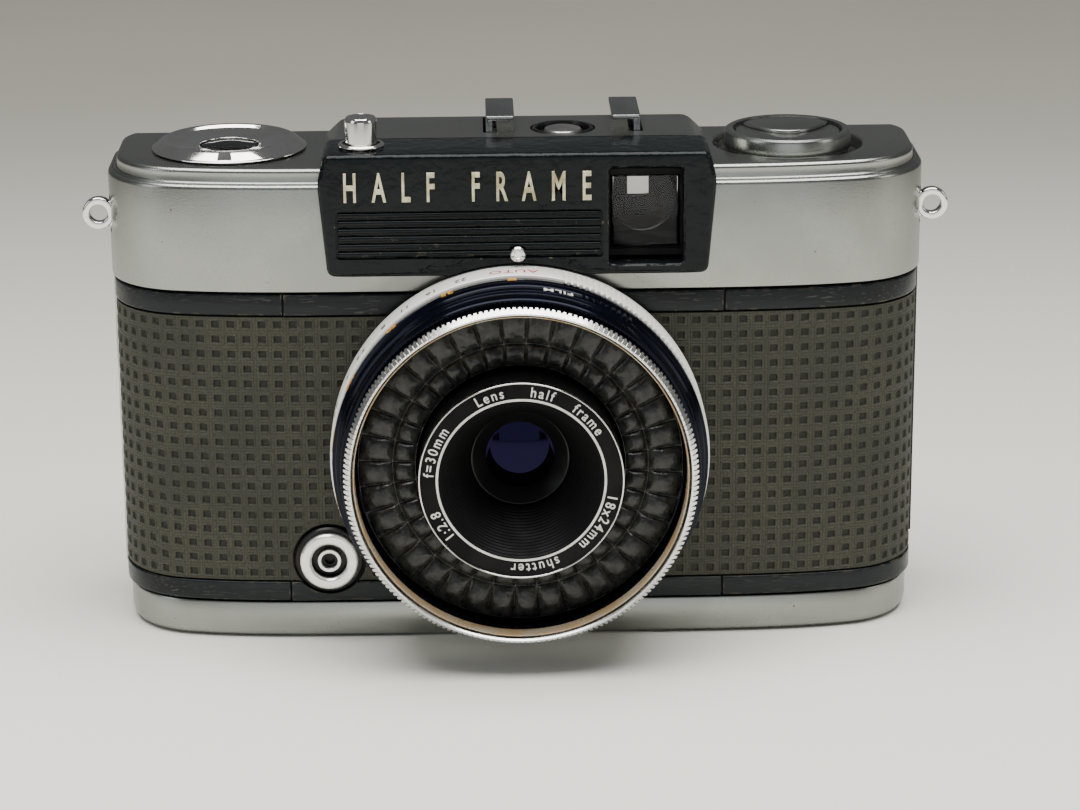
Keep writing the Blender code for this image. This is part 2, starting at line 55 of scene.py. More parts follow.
def middle(node):
    low, high = span(node)
    return (low + high) / 2


lensZ = middle("focus_ring").z
rewindX, axleY = middle("rewind_knob").xy
counterX = middle("counter_bezel").x
buttonX, buttonY = middle("shutter_button").xy
shoeX = middle("accessory_shoe").x
contactX, contactY = middle("shoe_contact").xy
eyeX, eyeZ = middle("eyepiece_frame").x, middle("eyepiece_frame").z
syncX, syncZ = middle("sync_socket_base").x, middle("sync_socket_base").z
wheelX, wheelY = middle("advance_wheel").xy

# mesh helpers


def addObject(name, data):
    made = bpy.data.objects.new(name, data)
    bpy.context.scene.collection.objects.link(made)
    return made


def meshObject(name, points, faces):
    mesh = bpy.data.meshes.new(name)
    mesh.from_pydata([Vector(point) * mm for point in points], [], faces)
    return outward(addObject(name, mesh))


def outward(made, weld=0.00001):
    shape = bmesh.new()
    shape.from_mesh(made.data)
    bmesh.ops.remove_doubles(shape, verts=shape.verts, dist=weld)
    bmesh.ops.recalc_face_normals(shape, faces=shape.faces)
    shape.to_mesh(made.data)
    shape.free()
    return made


def settle(made):
    # the modified shape, text or curve becomes a plain mesh with its place in its vertices
    bpy.context.view_layer.update()
    evaluated = made.evaluated_get(bpy.context.evaluated_depsgraph_get())
    mesh = bpy.data.meshes.new_from_object(evaluated)
    mesh.transform(made.matrix_world)
    name = made.name
    bpy.data.objects.remove(made, do_unlink=True)
    mesh.name = name
    return addObject(name, mesh)


def carve(target, *tools, operation="DIFFERENCE"):
    for tool in tools:
        change = target.modifiers.new(tool.name, "BOOLEAN")
        change.operation = operation
        change.solver = "EXACT"
        change.object = tool
    target = settle(target)
    for tool in tools:
        bpy.data.objects.remove(tool, do_unlink=True)
    return target


def unite(target, *tools):
    return carve(target, *tools, operation="UNION")


def gather(name, *objects):
    # several meshes become one piece
    shape = bmesh.new()
    for item in objects:
        shape.from_mesh(item.data)
        bpy.data.objects.remove(item, do_unlink=True)
    mesh = bpy.data.meshes.new(name)
    shape.to_mesh(mesh)
    shape.free()
    return addObject(name, mesh)


def rounded(points, radius, closed=True, steps=3):
    # each corner of a profile becomes a short curve
    result = []
    for index, point in enumerate(points):
        here = Vector(point[:2])
        size = point[2] if len(point) > 2 else radius
        if size == 0 or (not closed and index in (0, len(points) - 1)):
            result.append(tuple(here))
            continue
        before = Vector(points[index - 1][:2]) - here
        after = Vector(points[(index + 1) % len(points)][:2]) - here
        reach = min(size, before.length * 0.48, after.length * 0.48)
        start, end = here + before.normalized() * reach, here + after.normalized() * reach
        for step in range(steps + 1):
            t = step / steps
            result.append(tuple(start * (1 - t) ** 2 + here * 2 * t * (1 - t) + end * t * t))
    return result


def lathe(name, profile, centre=(0, 0, 0), steps=96, closed=True, facing="up"):
    # the profile is (radius, height); a front facing piece has its height towards the viewer
    points, rows = [], []
    for radius, height in profile:
        if abs(radius) < 1e-6:
            rows.append([len(points)])
            points.append((0.0, 0.0, height))
            continue
        rows.append(list(range(len(points), len(points) + steps)))
        for step in range(steps):
            angle = math.tau * (step + 0.5) / steps
            points.append((radius * math.cos(angle), radius * math.sin(angle), height))
    pairs = list(zip(rows, rows[1:])) + ([(rows[-1], rows[0])] if closed else [])
    faces = []
    for lower, upper in pairs:
        for step in range(steps):
            ring = (lower[step % len(lower)], lower[(step + 1) % steps % len(lower)],
                    upper[(step + 1) % steps % len(upper)], upper[step % len(upper)])
            face = list(dict.fromkeys(ring))
            if len(face) > 2:
                faces.append(face)
    if facing == "front":
        points = [(x, -z, y) for x, y, z in points]
    points = [tuple(Vector(point) + Vector(centre)) for point in points]
    return meshObject(name, points, faces)


def lensLathe(name, profile, steps=160, closed=True):
    return lathe(name, profile, (0, 0, lensZ), steps, closed, "front")


def loft(name, rings):
    # a solid through rings of equally many points, with flat ends
    count = len(rings[0])
    points = [point for ring in rings for point in ring]
    faces = [list(range(count)), list(range(len(points) - count, len(points)))]
    for row in range(len(rings) - 1):
        for step in range(count):
            after = (step + 1) % count
            faces.append((row * count + step, row * count + after,
                          (row + 1) * count + after, (row + 1) * count + step))
    return meshObject(name, points, faces)


def insetLoop(outline, distance):
    # an outline moved inwards; outlines run anticlockwise
    result = []
    for index, point in enumerate(outline):
        here = Vector(point)
        before = (here - Vector(outline[index - 1])).normalized()
        after = (Vector(outline[(index + 1) % len(outline)]) - here).normalized()
        mitre = Vector((-before.y - after.y, before.x + after.x))
        length = mitre.length
        mitre = mitre / length if length > 1e-6 else Vector((-after.y, after.x))
        reach = distance / max(0.4, mitre.dot(Vector((-after.y, after.x))))
        result.append(tuple(here + mitre * reach))
    return result


turnTo = {
    "Z": lambda a, b, c: (a, b, c),
    "Y": lambda a, b, c: (a, c, b),
    "X": lambda a, b, c: (c, a, b),
}


def prism(name, outline, low, high, facing="Z", edge=0.0, lowEdge=None, steps=3):
    # a flat outline with thickness along an axis, its rims rounded by edge
    area = sum(a[0] * b[1] - b[0] * a[1] for a, b in zip(outline, outline[1:] + outline[:1]))
    if area < 0:
        outline = outline[::-1]
    lowEdge = edge if lowEdge is None else lowEdge
    levels = []
    for step in range(steps + 1):
        angle = math.pi / 2 * step / steps
        levels.append((lowEdge * (1 - math.sin(angle)), low + lowEdge * (1 - math.cos(angle))))
    for step in range(steps, -1, -1):
        angle = math.pi / 2 * step / steps
        levels.append((edge * (1 - math.sin(angle)), high - edge * (1 - math.cos(angle))))
    levels = list(dict.fromkeys(levels))
    rings = []
    for inset, level in levels:
        loop = insetLoop(outline, inset) if inset else outline
        rings.append([turnTo[facing](a, b, level) for a, b in loop])
    return loft(name, rings)


def rectangle(left, low, right, high):
    return [(left, low), (right, low), (right, high), (left, high)]


def block(name, low, high):
    return prism(name, rectangle(low[0], low[1], high[0], high[1]), low[2], high[2])


def softBlock(name, low, high, edge=0.2):
    # the corners take a wider curve than the rims
    corners = rounded(rectangle(low[0], low[1], high[0], high[1]), edge * 2.2)
    return prism(name, corners, low[2], high[2], edge=edge)


def drill(name, radius, low, high, centre, steps=64, facing="up"):
    # a plain round cutter
    return lathe(name, [(0, low), (radius, low), (radius, high), (0, high)], centre, steps, False, facing)


def softEdges(made, width, steps=2, angle=40):
    bevel = made.modifiers.new("edges", "BEVEL")
    bevel.width = width * mm
    bevel.segments = steps
    bevel.limit_method = "ANGLE"
    bevel.angle_limit = math.radians(angle)
    bevel.use_clamp_overlap = True
    return settle(made)


# repeats made with Geometry Nodes


def startTree(name, sockets):
    tree = bpy.data.node_groups.new(name, "GeometryNodeTree")
    tree.interface.new_socket("Geometry", in_out="INPUT", socket_type="NodeSocketGeometry")
    for label, kind in sockets:
        tree.interface.new_socket(label, in_out="INPUT", socket_type="NodeSocket" + kind)
    tree.interface.new_socket("Geometry", in_out="OUTPUT", socket_type="NodeSocketGeometry")
    return tree, tree.nodes.new("NodeGroupInput"), tree.nodes.new("NodeGroupOutput")


def endTree(tree, start, end, instances):
    realize = tree.nodes.new("GeometryNodeRealizeInstances")
    paint = tree.nodes.new("GeometryNodeSetMaterial")
    tree.links.new(instances, realize.inputs["Geometry"])
    tree.links.new(realize.outputs["Geometry"], paint.inputs["Geometry"])
    tree.links.new(start.outputs["Finish"], paint.inputs["Material"])
    tree.links.new(paint.outputs["Geometry"], end.inputs["Geometry"])
    return tree


def instanceNodes(tree, start, points):
    # every point takes a copy of the shape
    shape = tree.nodes.new("GeometryNodeObjectInfo")
    spread = tree.nodes.new("GeometryNodeInstanceOnPoints")
    tree.links.new(start.outputs["Shape"], shape.inputs["Object"])
    tree.links.new(points, spread.inputs["Points"])
    tree.links.new(shape.outputs["Geometry"], spread.inputs["Instance"])
    return spread


def makeRingTree():
    # copies turned about Z, from a first angle, a step apart
    tree, start, end = startTree("ringRepeat", [
        ("Count", "Int"), ("Step", "Float"), ("First", "Float"), ("Shape", "Object"), ("Finish", "Material")])
    line = tree.nodes.new("GeometryNodeMeshLine")
    line.inputs["Offset"].default_value = (0, 0, 0)
    tree.links.new(start.outputs["Count"], line.inputs["Count"])
    spread = instanceNodes(tree, start, line.outputs["Mesh"])
    index = tree.nodes.new("GeometryNodeInputIndex")
    turn = tree.nodes.new("ShaderNodeMath")
    turn.operation = "MULTIPLY_ADD"
    tree.links.new(index.outputs["Index"], turn.inputs[0])
    tree.links.new(start.outputs["Step"], turn.inputs[1])
    tree.links.new(start.outputs["First"], turn.inputs[2])
    angles = tree.nodes.new("ShaderNodeCombineXYZ")
    tree.links.new(turn.outputs[0], angles.inputs["Z"])
    tree.links.new(angles.outputs[0], spread.inputs["Rotation"])
    return endTree(tree, start, end, spread.outputs["Instances"])


def makeGridTree():
    # copies on a flat grid of columns and rows
    tree, start, end = startTree("gridRepeat", [
        ("Columns", "Int"), ("Rows", "Int"), ("Column Pitch", "Float"), ("Row Pitch", "Float"),
        ("Shape", "Object"), ("Finish", "Material")])
    column = tree.nodes.new("GeometryNodeMeshLine")
    row = tree.nodes.new("GeometryNodeMeshLine")
    across = tree.nodes.new("ShaderNodeCombineXYZ")
    up = tree.nodes.new("ShaderNodeCombineXYZ")
    tree.links.new(start.outputs["Columns"], column.inputs["Count"])
    tree.links.new(start.outputs["Rows"], row.inputs["Count"])
    tree.links.new(start.outputs["Column Pitch"], across.inputs["X"])
    tree.links.new(start.outputs["Row Pitch"], up.inputs["Z"])
    tree.links.new(across.outputs[0], column.inputs["Offset"])
    tree.links.new(up.outputs[0], row.inputs["Offset"])
    inner = tree.nodes.new("GeometryNodeInstanceOnPoints")
    tree.links.new(row.outputs["Mesh"], inner.inputs["Points"])
    tree.links.new(column.outputs["Mesh"], inner.inputs["Instance"])
    points = tree.nodes.new("GeometryNodeRealizeInstances")
    tree.links.new(inner.outputs["Instances"], points.inputs["Geometry"])
    spread = instanceNodes(tree, start, points.outputs["Geometry"])
    return endTree(tree, start, end, spread.outputs["Instances"])


ringTree = makeRingTree()
gridTree = makeGridTree()


def repeat(name, tree, shape, finishName, **values):
    carrier = addObject(name, bpy.data.meshes.new(name))
    change = carrier.modifiers.new("repeat", "NODES")
    change.node_group = tree
    values.update({"Shape": shape, "Finish": finishes[finishName]})
    sockets = {item.name: item.identifier for item in tree.interface.items_tree
               if item.item_type == "SOCKET" and item.in_out == "INPUT"}
    for label, value in values.items():
        change[sockets[label.replace("_", " ")]] = value
    made = settle(carrier)
    bpy.data.objects.remove(shape, do_unlink=True)
    return made


def toLens(made):
    # a shape made about Z, facing up, turns to face the viewer on the lens axis
    made.data.transform(Matrix.Translation((0, 0, lensZ * mm)) @ Matrix.Rotation(math.pi / 2, 4, "X"))
    return made


def lensRepeat(name, shape, finishName, count, first=0.0, step=None):
    step = math.tau / count if step is None else math.radians(step)
    return toLens(repeat(name, ringTree, shape, finishName, Count=count, Step=step,
                         First=math.radians(first)))


# finishes: what each surface looks like


def tone(red, green, blue):
    parts = []
    for value in (red, green, blue):
        share = value / 255
        parts.append(share / 12.92 if share < 0.04045 else ((share + 0.055) / 1.055) ** 2.4)
    return (*parts, 1.0)


finishSpecs = {
    # base and second colour, roughness range, metal; grain, bump and cloud are sizes in millimetres
    "satinChrome": dict(base=tone(152, 154, 149), second=tone(143, 145, 140), rough=(0.25, 0.31),
                        metal=1.0, grain=0.2, bump=0.012, cloud=14.0, fleck=tone(92, 90, 84),
                        speckle=tone(140, 142, 140)),
    "mattAlloy": dict(base=tone(246, 246, 241), second=tone(238, 237, 230), rough=(0.45, 0.55),
                      metal=0.25, grain=0.16, bump=0.008, cloud=6.0),
    "silver": dict(base=tone(240, 240, 236), second=tone(230, 229, 224), rough=(0.22, 0.32), metal=0.85,
                   grain=0.2, bump=0.003, cloud=3.0),
    "knurled": dict(base=tone(238, 238, 236), second=tone(226, 225, 220), rough=(0.16, 0.28), metal=1.0,
                    grain=0.3, bump=0.002, cloud=4.0),
    "brightChrome": dict(base=tone(236, 235, 232), second=tone(222, 220, 214), rough=(0.06, 0.14),
                         metal=1.0, grain=0.5, bump=0.0015, cloud=5.0),
    "enamel": dict(base=tone(16, 20, 21), second=tone(11, 15, 16), rough=(0.09, 0.15), metal=0.0,
                   shine=0.17, tint=(0.94, 1.0, 1.0, 1), grain=1.6, bump=0.16, cloud=12.0,
                   worn=tone(150, 138, 110), wear=0.1, wornWidth=0.3),
    "bandPaint": dict(base=tone(22, 28, 30), second=tone(13, 17, 19), rough=(0.25, 0.4), metal=0.0,
                      shine=0.22, grain=0.5, bump=0.03, cloud=4.0, stretch=(0.12, 1.0, 1.6),
                      scuff=tone(58, 60, 58), worn=tone(96, 88, 72), wear=0.45, wornWidth=0.45),
    "blueBlack": dict(base=tone(5, 6, 9), second=tone(5, 6, 14), rough=(0.08, 0.16), metal=0.0,
                      shine=0.17, tint=(0.62, 0.68, 1.0, 1), grain=0.9, bump=0.004, cloud=5.0),
    "shoeSteel": dict(base=tone(158, 160, 160), second=tone(140, 142, 142), rough=(0.2, 0.32), metal=1.0,
                      grain=0.3, bump=0.006, cloud=2.0, stretch=(1.0, 0.15, 1.0)),
    # painted reflection: the gold tint stands in for a warm reflection in the polished lining
    "warmChrome": dict(base=tone(220, 206, 182), second=tone(212, 178, 134), rough=(0.2, 0.36),
                       metal=0.55, grain=0.5, bump=0.002, cloud=3.0),
    "coatedGlass": dict(base=tone(7, 6, 9), second=tone(12, 8, 7), rough=(0.02, 0.05), metal=0.0,
                        shine=0.28, tint=(0.32, 0.28, 1.0, 1), grain=3.0, bump=0.0002, cloud=5.0),
    "castAlloy": dict(base=tone(46, 46, 45), second=tone(34, 34, 33), rough=(0.45, 0.65), metal=0.5,
                      grain=0.3, bump=0.03, cloud=6.0),
    "steel": dict(base=tone(190, 190, 188), second=tone(165, 164, 160), rough=(0.22, 0.36), metal=1.0,
                  grain=0.3, bump=0.004, cloud=4.0),
    "brass": dict(base=tone(196, 164, 96), second=tone(165, 132, 70), rough=(0.25, 0.4), metal=1.0,
                  grain=0.3, bump=0.004, cloud=4.0),
    "selenium": dict(base=tone(52, 40, 34), second=tone(34, 28, 26), rough=(0.35, 0.5), metal=0.3,
                     grain=0.4, bump=0.01, cloud=3.0),
    "blackPlastic": dict(base=tone(13, 13, 14), second=tone(8, 8, 9), rough=(0.28, 0.42), metal=0.0,
                         shine=0.3, grain=0.35, bump=0.01, cloud=4.0),
    "mattBlack": dict(base=tone(7, 7, 8), second=tone(4, 4, 5), rough=(0.5, 0.7), metal=0.0, shine=0.16,
                      grain=0.25, bump=0.02, cloud=4.0),
    "cellPlastic": dict(base=tone(50, 51, 48), second=tone(26, 27, 25), rough=(0.14, 0.3), metal=0.0,
                        shine=0.34, grain=0.9, bump=0.12, cloud=1.1),
    "creamMetal": dict(base=tone(214, 208, 180), second=tone(176, 166, 132), rough=(0.3, 0.5), metal=0.75,
                       grain=0.25, bump=0.02, cloud=1.6),
    "whitePaint": dict(base=tone(226, 226, 220), second=tone(205, 204, 196), rough=(0.35, 0.5), metal=0.0,
                       grain=0.3, bump=0.01, cloud=2.0),
    "yellowPaint": dict(base=tone(214, 156, 52), second=tone(180, 122, 40), rough=(0.35, 0.5), metal=0.0,
                        grain=0.3, bump=0.01, cloud=2.0),
    "redPaint": dict(base=tone(196, 48, 42), second=tone(170, 60, 50), rough=(0.35, 0.5), metal=0.0,
                     grain=0.3, bump=0.01, cloud=2.0),
    "blackPaint": dict(base=tone(22, 22, 22), second=tone(34, 34, 33), rough=(0.35, 0.5), metal=0.0,
                       grain=0.3, bump=0.01, cloud=2.0),
}


def noiseNode(tree, place, size, detail=3.0):
    made = tree.nodes.new("ShaderNodeTexNoise")
    made.inputs["Scale"].default_value = 1 / (size * mm)
    made.inputs["Detail"].default_value = detail
    tree.links.new(place, made.inputs["Vector"])
    return made.outputs["Fac"]


def rangeNode(tree, value, low, high, toLow=0.0, toHigh=1.0):
    made = tree.nodes.new("ShaderNodeMapRange")
    made.interpolation_type = "SMOOTHSTEP"
    for label, number in (("From Min", low), ("From Max", high), ("To Min", toLow), ("To Max", toHigh)):
        made.inputs[label].default_value = number
    tree.links.new(value, made.inputs["Value"])
    return made.outputs["Result"]


def mixNode(tree, share, first, second):
    made = tree.nodes.new("ShaderNodeMix")
    made.data_type = "RGBA"
    for socket, value in ((made.inputs[0], share), (made.inputs[6], first), (made.inputs[7], second)):
        if isinstance(value, bpy.types.NodeSocket):
            tree.links.new(value, socket)
        else:
            socket.default_value = value
    return made.outputs[2]


def mathNode(tree, operation, first, second):
    made = tree.nodes.new("ShaderNodeMath")
    made.operation = operation
    for socket, value in zip(made.inputs, (first, second)):
        if isinstance(value, bpy.types.NodeSocket):
            tree.links.new(value, socket)
        else:
            socket.default_value = value
    return made.outputs[0]


def bumpNode(tree, height, depth, shader, under=None):
    made = tree.nodes.new("ShaderNodeBump")
    made.inputs["Strength"].default_value = 1.0
    made.inputs["Distance"].default_value = depth * mm
    tree.links.new(height, made.inputs["Height"])
    if under:
        tree.links.new(under, made.inputs["Normal"])
    tree.links.new(made.outputs["Normal"], shader.inputs["Normal"])
    return made.outputs["Normal"]


def edgeMask(tree, width):
    # how far a rounded normal leans from the true one: high along edges
    softened = tree.nodes.new("ShaderNodeBevel")
    softened.samples = 4
    softened.inputs["Radius"].default_value = width * mm
    true = tree.nodes.new("ShaderNodeNewGeometry")
    lean = tree.nodes.new("ShaderNodeVectorMath")
    lean.operation = "DOT_PRODUCT"
    tree.links.new(softened.outputs["Normal"], lean.inputs[0])
    tree.links.new(true.outputs["Normal"], lean.inputs[1])
    return rangeNode(tree, lean.outputs["Value"], 0.985, 0.93)


def makeFinish(name, spec):
    made = bpy.data.materials.new(name)
    made.use_nodes = True
    tree = made.node_tree
    shader = tree.nodes["Principled BSDF"]
    shader.inputs["Metallic"].default_value = spec["metal"]
    shader.inputs["Specular IOR Level"].default_value = spec.get("shine", 0.5)
    shader.inputs["Specular Tint"].default_value = spec.get("tint", (1, 1, 1, 1))
    coords = tree.nodes.new("ShaderNodeTexCoord")
    mapping = tree.nodes.new("ShaderNodeMapping")
    mapping.inputs["Scale"].default_value = spec.get("stretch", (1, 1, 1))
    tree.links.new(coords.outputs["Object"], mapping.inputs["Vector"])
    place = mapping.outputs["Vector"]
    grain = noiseNode(tree, place, spec["grain"])
    cloud = noiseNode(tree, place, spec["cloud"], 4.0)
    colour = mixNode(tree, rangeNode(tree, cloud, 0.35, 0.65), spec["base"], spec["second"])
    if "speckle" in spec:
        colour = mixNode(tree, rangeNode(tree, grain, 0.5, 0.75), colour, spec["speckle"])
    if "fleck" in spec:
        spots = rangeNode(tree, noiseNode(tree, place, 0.5, 2.0), 0.75, 0.78)
        colour = mixNode(tree, spots, colour, spec["fleck"])
    if "scuff" in spec:
        lines = rangeNode(tree, noiseNode(tree, place, 0.32, 2.0), 0.6, 0.68)
        share = mathNode(tree, "MULTIPLY", lines, rangeNode(tree, cloud, 0.4, 0.6))
        colour = mixNode(tree, share, colour, spec["scuff"])
    if "worn" in spec:
        ragged = noiseNode(tree, coords.outputs["Object"], 1.3, 5.0)
        share = mathNode(tree, "MULTIPLY", edgeMask(tree, spec["wornWidth"]),
                         rangeNode(tree, ragged, 0.68 - spec["wear"] * 0.3, 0.74 - spec["wear"] * 0.3))
        colour = mixNode(tree, share, colour, spec["worn"])
    tree.links.new(colour, shader.inputs["Base Color"])
    tree.links.new(rangeNode(tree, cloud, 0.3, 0.7, *spec["rough"]), shader.inputs["Roughness"])
    bumpNode(tree, grain, spec["bump"], shader)
    return made


weaveLook = {
    "olive": tone(66, 65, 52),
    "faded": tone(55, 55, 45),
    "speck": tone(46, 46, 37),
    # line: painted shade in the grooves of the fabric lines
    "line": tone(42, 42, 34),
    # pit: painted shade in the bottoms of the pits
    "pit": tone(36, 36, 28),
    "shine": 0.34,
    "grain": 0.22,
    "cloud": 11.0,
    "ripples": 3.5,  # lines across one cell's border
    "pitEnd": (0.27, 0.22),  # shares of a cell from its middle
    "lineStart": 0.33,
    "lineBump": 0.022,
    "grainBump": 0.05,
}


def makeLeather():
    # fabric lines between the pits follow the cells of the covering's own map
    made = bpy.data.materials.new("leatherCloth")
    made.use_nodes = True
    tree = made.node_tree
    shader = tree.nodes["Principled BSDF"]
    coords = tree.nodes.new("ShaderNodeTexCoord")
    place = coords.outputs["Object"]
    cells = tree.nodes.new("ShaderNodeUVMap")
    cells.uv_map = "cells"
    split = tree.nodes.new("ShaderNodeSeparateXYZ")
    tree.links.new(cells.outputs["UV"], split.inputs[0])
    lines, pitShades = [], []
    for axis in "XY":
        part = mathNode(tree, "FRACT", split.outputs[axis], 0.0)
        away = mathNode(tree, "ABSOLUTE", mathNode(tree, "SUBTRACT", part, 0.5), 0.0)
        turns = mathNode(tree, "MULTIPLY", away, 2 * math.tau * weaveLook["ripples"])
        ripple = mathNode(tree, "SINE", turns, 0.0)
        pitEnd, lineStart = weaveLook["pitEnd"], weaveLook["lineStart"]
        lines.append(mathNode(tree, "MULTIPLY", ripple, rangeNode(tree, away, pitEnd[0], lineStart)))
        pitShades.append(rangeNode(tree, away, *pitEnd))
    weave = mathNode(tree, "ADD", lines[0], lines[1])
    pit = mathNode(tree, "MULTIPLY", pitShades[0], pitShades[1])
    grain = noiseNode(tree, place, weaveLook["grain"], 4.0)
    cloud = noiseNode(tree, place, weaveLook["cloud"], 4.0)
    colour = mixNode(tree, rangeNode(tree, cloud, 0.35, 0.65), weaveLook["olive"], weaveLook["faded"])
    colour = mixNode(tree, rangeNode(tree, grain, 0.35, 0.7), colour, weaveLook["speck"])
    # painted shade: the colour darkens in the grooves of the fabric lines
    colour = mixNode(tree, rangeNode(tree, weave, -0.2, -1.2), colour, weaveLook["line"])
    # painted shade: the pits are darker in colour
    colour = mixNode(tree, pit, colour, weaveLook["pit"])
    shader.inputs["Specular IOR Level"].default_value = weaveLook["shine"]
    tree.links.new(colour, shader.inputs["Base Color"])
    tree.links.new(rangeNode(tree, grain, 0.3, 0.7, 0.5, 0.68), shader.inputs["Roughness"])
    under = bumpNode(tree, weave, weaveLook["lineBump"], shader)
    bumpNode(tree, grain, weaveLook["grainBump"], shader, under)
    return made


def makeGlass(name, tint, clear, coating, shine, index):
    made = bpy.data.materials.new(name)
    made.use_nodes = True
    tree = made.node_tree
    shader = tree.nodes["Principled BSDF"]
    shader.inputs["Transmission Weight"].default_value = 1.0
    shader.inputs["IOR"].default_value = index
    shader.inputs["Specular Tint"].default_value = coating
    shader.inputs["Specular IOR Level"].default_value = shine
    coords = tree.nodes.new("ShaderNodeTexCoord")
    smear = noiseNode(tree, coords.outputs["Object"], 2.4, 3.0)
    tree.links.new(mixNode(tree, rangeNode(tree, smear, 0.4, 0.8), tint, clear),
                   shader.inputs["Base Color"])
    shader.inputs["Roughness"].default_value = 0.0
    return made


floorLook = {
    "base": tone(251, 251, 244),
    "second": tone(246, 245, 237),
    "rough": (0.5, 0.65),
    "metal": 0.0,
    "grain": 9.0,
    "bump": 0.05,
    "cloud": 160.0,
    # the far colour is painted shade where the light falls off behind the camera
    "farShade": tone(157, 154, 145),
    "fade": (-0.1, 0.35),  # metres in front of and behind the camera's middle
}


def makeFloor():
    # pale paper with painted shade: its colour darkens towards the back of the table, standing in for the
    # light falling off
    made = makeFinish("floorPaint", floorLook)
    tree = made.node_tree
    shader = tree.nodes["Principled BSDF"]
    coords = tree.nodes.new("ShaderNodeTexCoord")
    split = tree.nodes.new("ShaderNodeSeparateXYZ")
    tree.links.new(coords.outputs["Object"], split.inputs[0])
    paper = shader.inputs["Base Color"].links[0].from_socket
    share = rangeNode(tree, split.outputs["Y"], *floorLook["fade"])
    tree.links.new(mixNode(tree, share, paper, floorLook["farShade"]), shader.inputs["Base Color"])
    return made


finishes = {name: makeFinish(name, spec) for name, spec in finishSpecs.items()}
finishes["floorPaint"] = makeFloor()
finishes["leatherCloth"] = makeLeather()
finishes["windowGlass"] = makeGlass("windowGlass", (0.94, 0.95, 0.96, 1), (0.9, 0.9, 0.9, 1), (1, 1, 1, 1),
                                    0.06, 1.2)
finishes["smokedGlass"] = makeGlass("smokedGlass", (0.05, 0.05, 0.055, 1), (0.03, 0.03, 0.035, 1),
                                    (1, 1, 1, 1), 0.25, 1.25)
print("finishes ready:", len(finishes))


def place(made, finishName, body, slot, *nodes, angle=32):
    # a finished piece: its finish, its smooth faces, and the body that it rides on
    if finishName:
        made.data.materials.clear()
        made.data.materials.append(finishes[finishName])
    made.data.shade_smooth()
    made.data.set_sharp_from_angle(angle=math.radians(angle))
    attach(made, body)
    if nodes:
        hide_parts(*nodes)
    return made


def keepNode(node, finishName):
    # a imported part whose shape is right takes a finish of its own
    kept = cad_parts[node]
    kept.data.materials.clear()
    kept.data.materials.append(finishes[finishName])
    return kept


# lettering and how it bends round the lens


def lettering(name, words, size, depth, condense=1.0, spacing=1.0, bold=0.0):
    # flat letters in X and Z, facing the viewer, starting at X = 0
    text = bpy.data.curves.new(name, "FONT")
    text.body = words
    text.size = size * mm
    text.extrude = depth / 2 * mm
    text.space_character = spacing
    text.offset = bold * mm
    text.resolution_u = 4
    made = settle(addObject(name, text))
    made.data.transform(Matrix.Rotation(math.pi / 2, 4, "X") @ Matrix.Diagonal((condense, 1, 1, 1)))
    return outward(made)


def bendFlat(made, radius, first, front):
    # letters run clockwise round the lens, their tops outwards, from an angle past the top
    for vertex in made.data.vertices:
        x, y, z = vertex.co / mm
        angle = math.radians(first) + x / radius
        reach = radius + z
        vertex.co = Vector((reach * math.sin(angle), front + y, lensZ + reach * math.cos(angle))) * mm
    return made


def bendRound(made, radius, first, front, flip=False):
    # letters lie on a drum about the lens axis, read from above
    for vertex in made.data.vertices:
        x, y, z = vertex.co / mm
        if flip:
            x, z = -x, -z
        angle = math.radians(first) + x / radius
        reach = radius - y
        vertex.co = Vector((reach * math.sin(angle), front + z, lensZ + reach * math.cos(angle))) * mm
    return outward(made)


def textWidth(made):
    return max(vertex.co.x for vertex in made.data.vertices) / mm


# the plan of the body, which covers, bands and coverings share

plan = {
    "halfWidth": span("top_cover")[1].x,
    "front": span("top_cover")[0].y,
    "bow": 2.48,
    "bowAt": 47.0,
    "bowPower": 5.6,
    "endStart": 45.0,
    "backRadius": 7.0,
    "bodyBack": 21.1,
    "coverBack": span("top_cover")[1].y,
    "skinEnd": span("leatherette_left")[1].y,
}


def frontPoint(across, inset):
    depth = plan["bow"] * (across / plan["bowAt"]) ** plan["bowPower"]
    slope = plan["bowPower"] * depth / across if across else 0.0
    length = math.hypot(slope, 1.0)
    return across - inset * slope / length, plan["front"] + depth + inset / length


def frontSide(inset, start=0.0, bowSteps=22, arcSteps=14):
    # the right half of the front, round to the widest point
    end = plan["endStart"]
    points = []
    for step in range(bowSteps + 1):
        share = step / bowSteps
        points.append(frontPoint(start + (end - start) * share ** 0.7, inset))
    depth = plan["bow"] * (end / plan["bowAt"]) ** plan["bowPower"]
    first = math.atan(plan["bowPower"] * depth / end)
    radius = (plan["halfWidth"] - end) / (1 - math.sin(first))
    centreX = plan["halfWidth"] - radius
    centreY = plan["front"] + depth + radius * math.cos(first)
    for step in range(1, arcSteps + 1):
        angle = first + (math.pi / 2 - first) * step / arcSteps
        points.append((centreX + (radius - inset) * math.sin(angle),
                       centreY - (radius - inset) * math.cos(angle)))
    return points


def planLoop(inset, back):
    right = frontSide(inset)
    centreX = plan["halfWidth"] - plan["backRadius"]
    centreY = back - plan["backRadius"]
    reach = plan["backRadius"] - inset
    for step in range(11):
        angle = math.pi / 2 * step / 10
        right.append((centreX + reach * math.cos(angle), centreY + reach * math.sin(angle)))
    left = [(-across, along) for across, along in reversed(right)]
    return right + left[:-1]


def planLoft(name, back, levels):
    return loft(name, [[(x, y, z) for x, y in planLoop(inset, back)] for inset, z in levels])


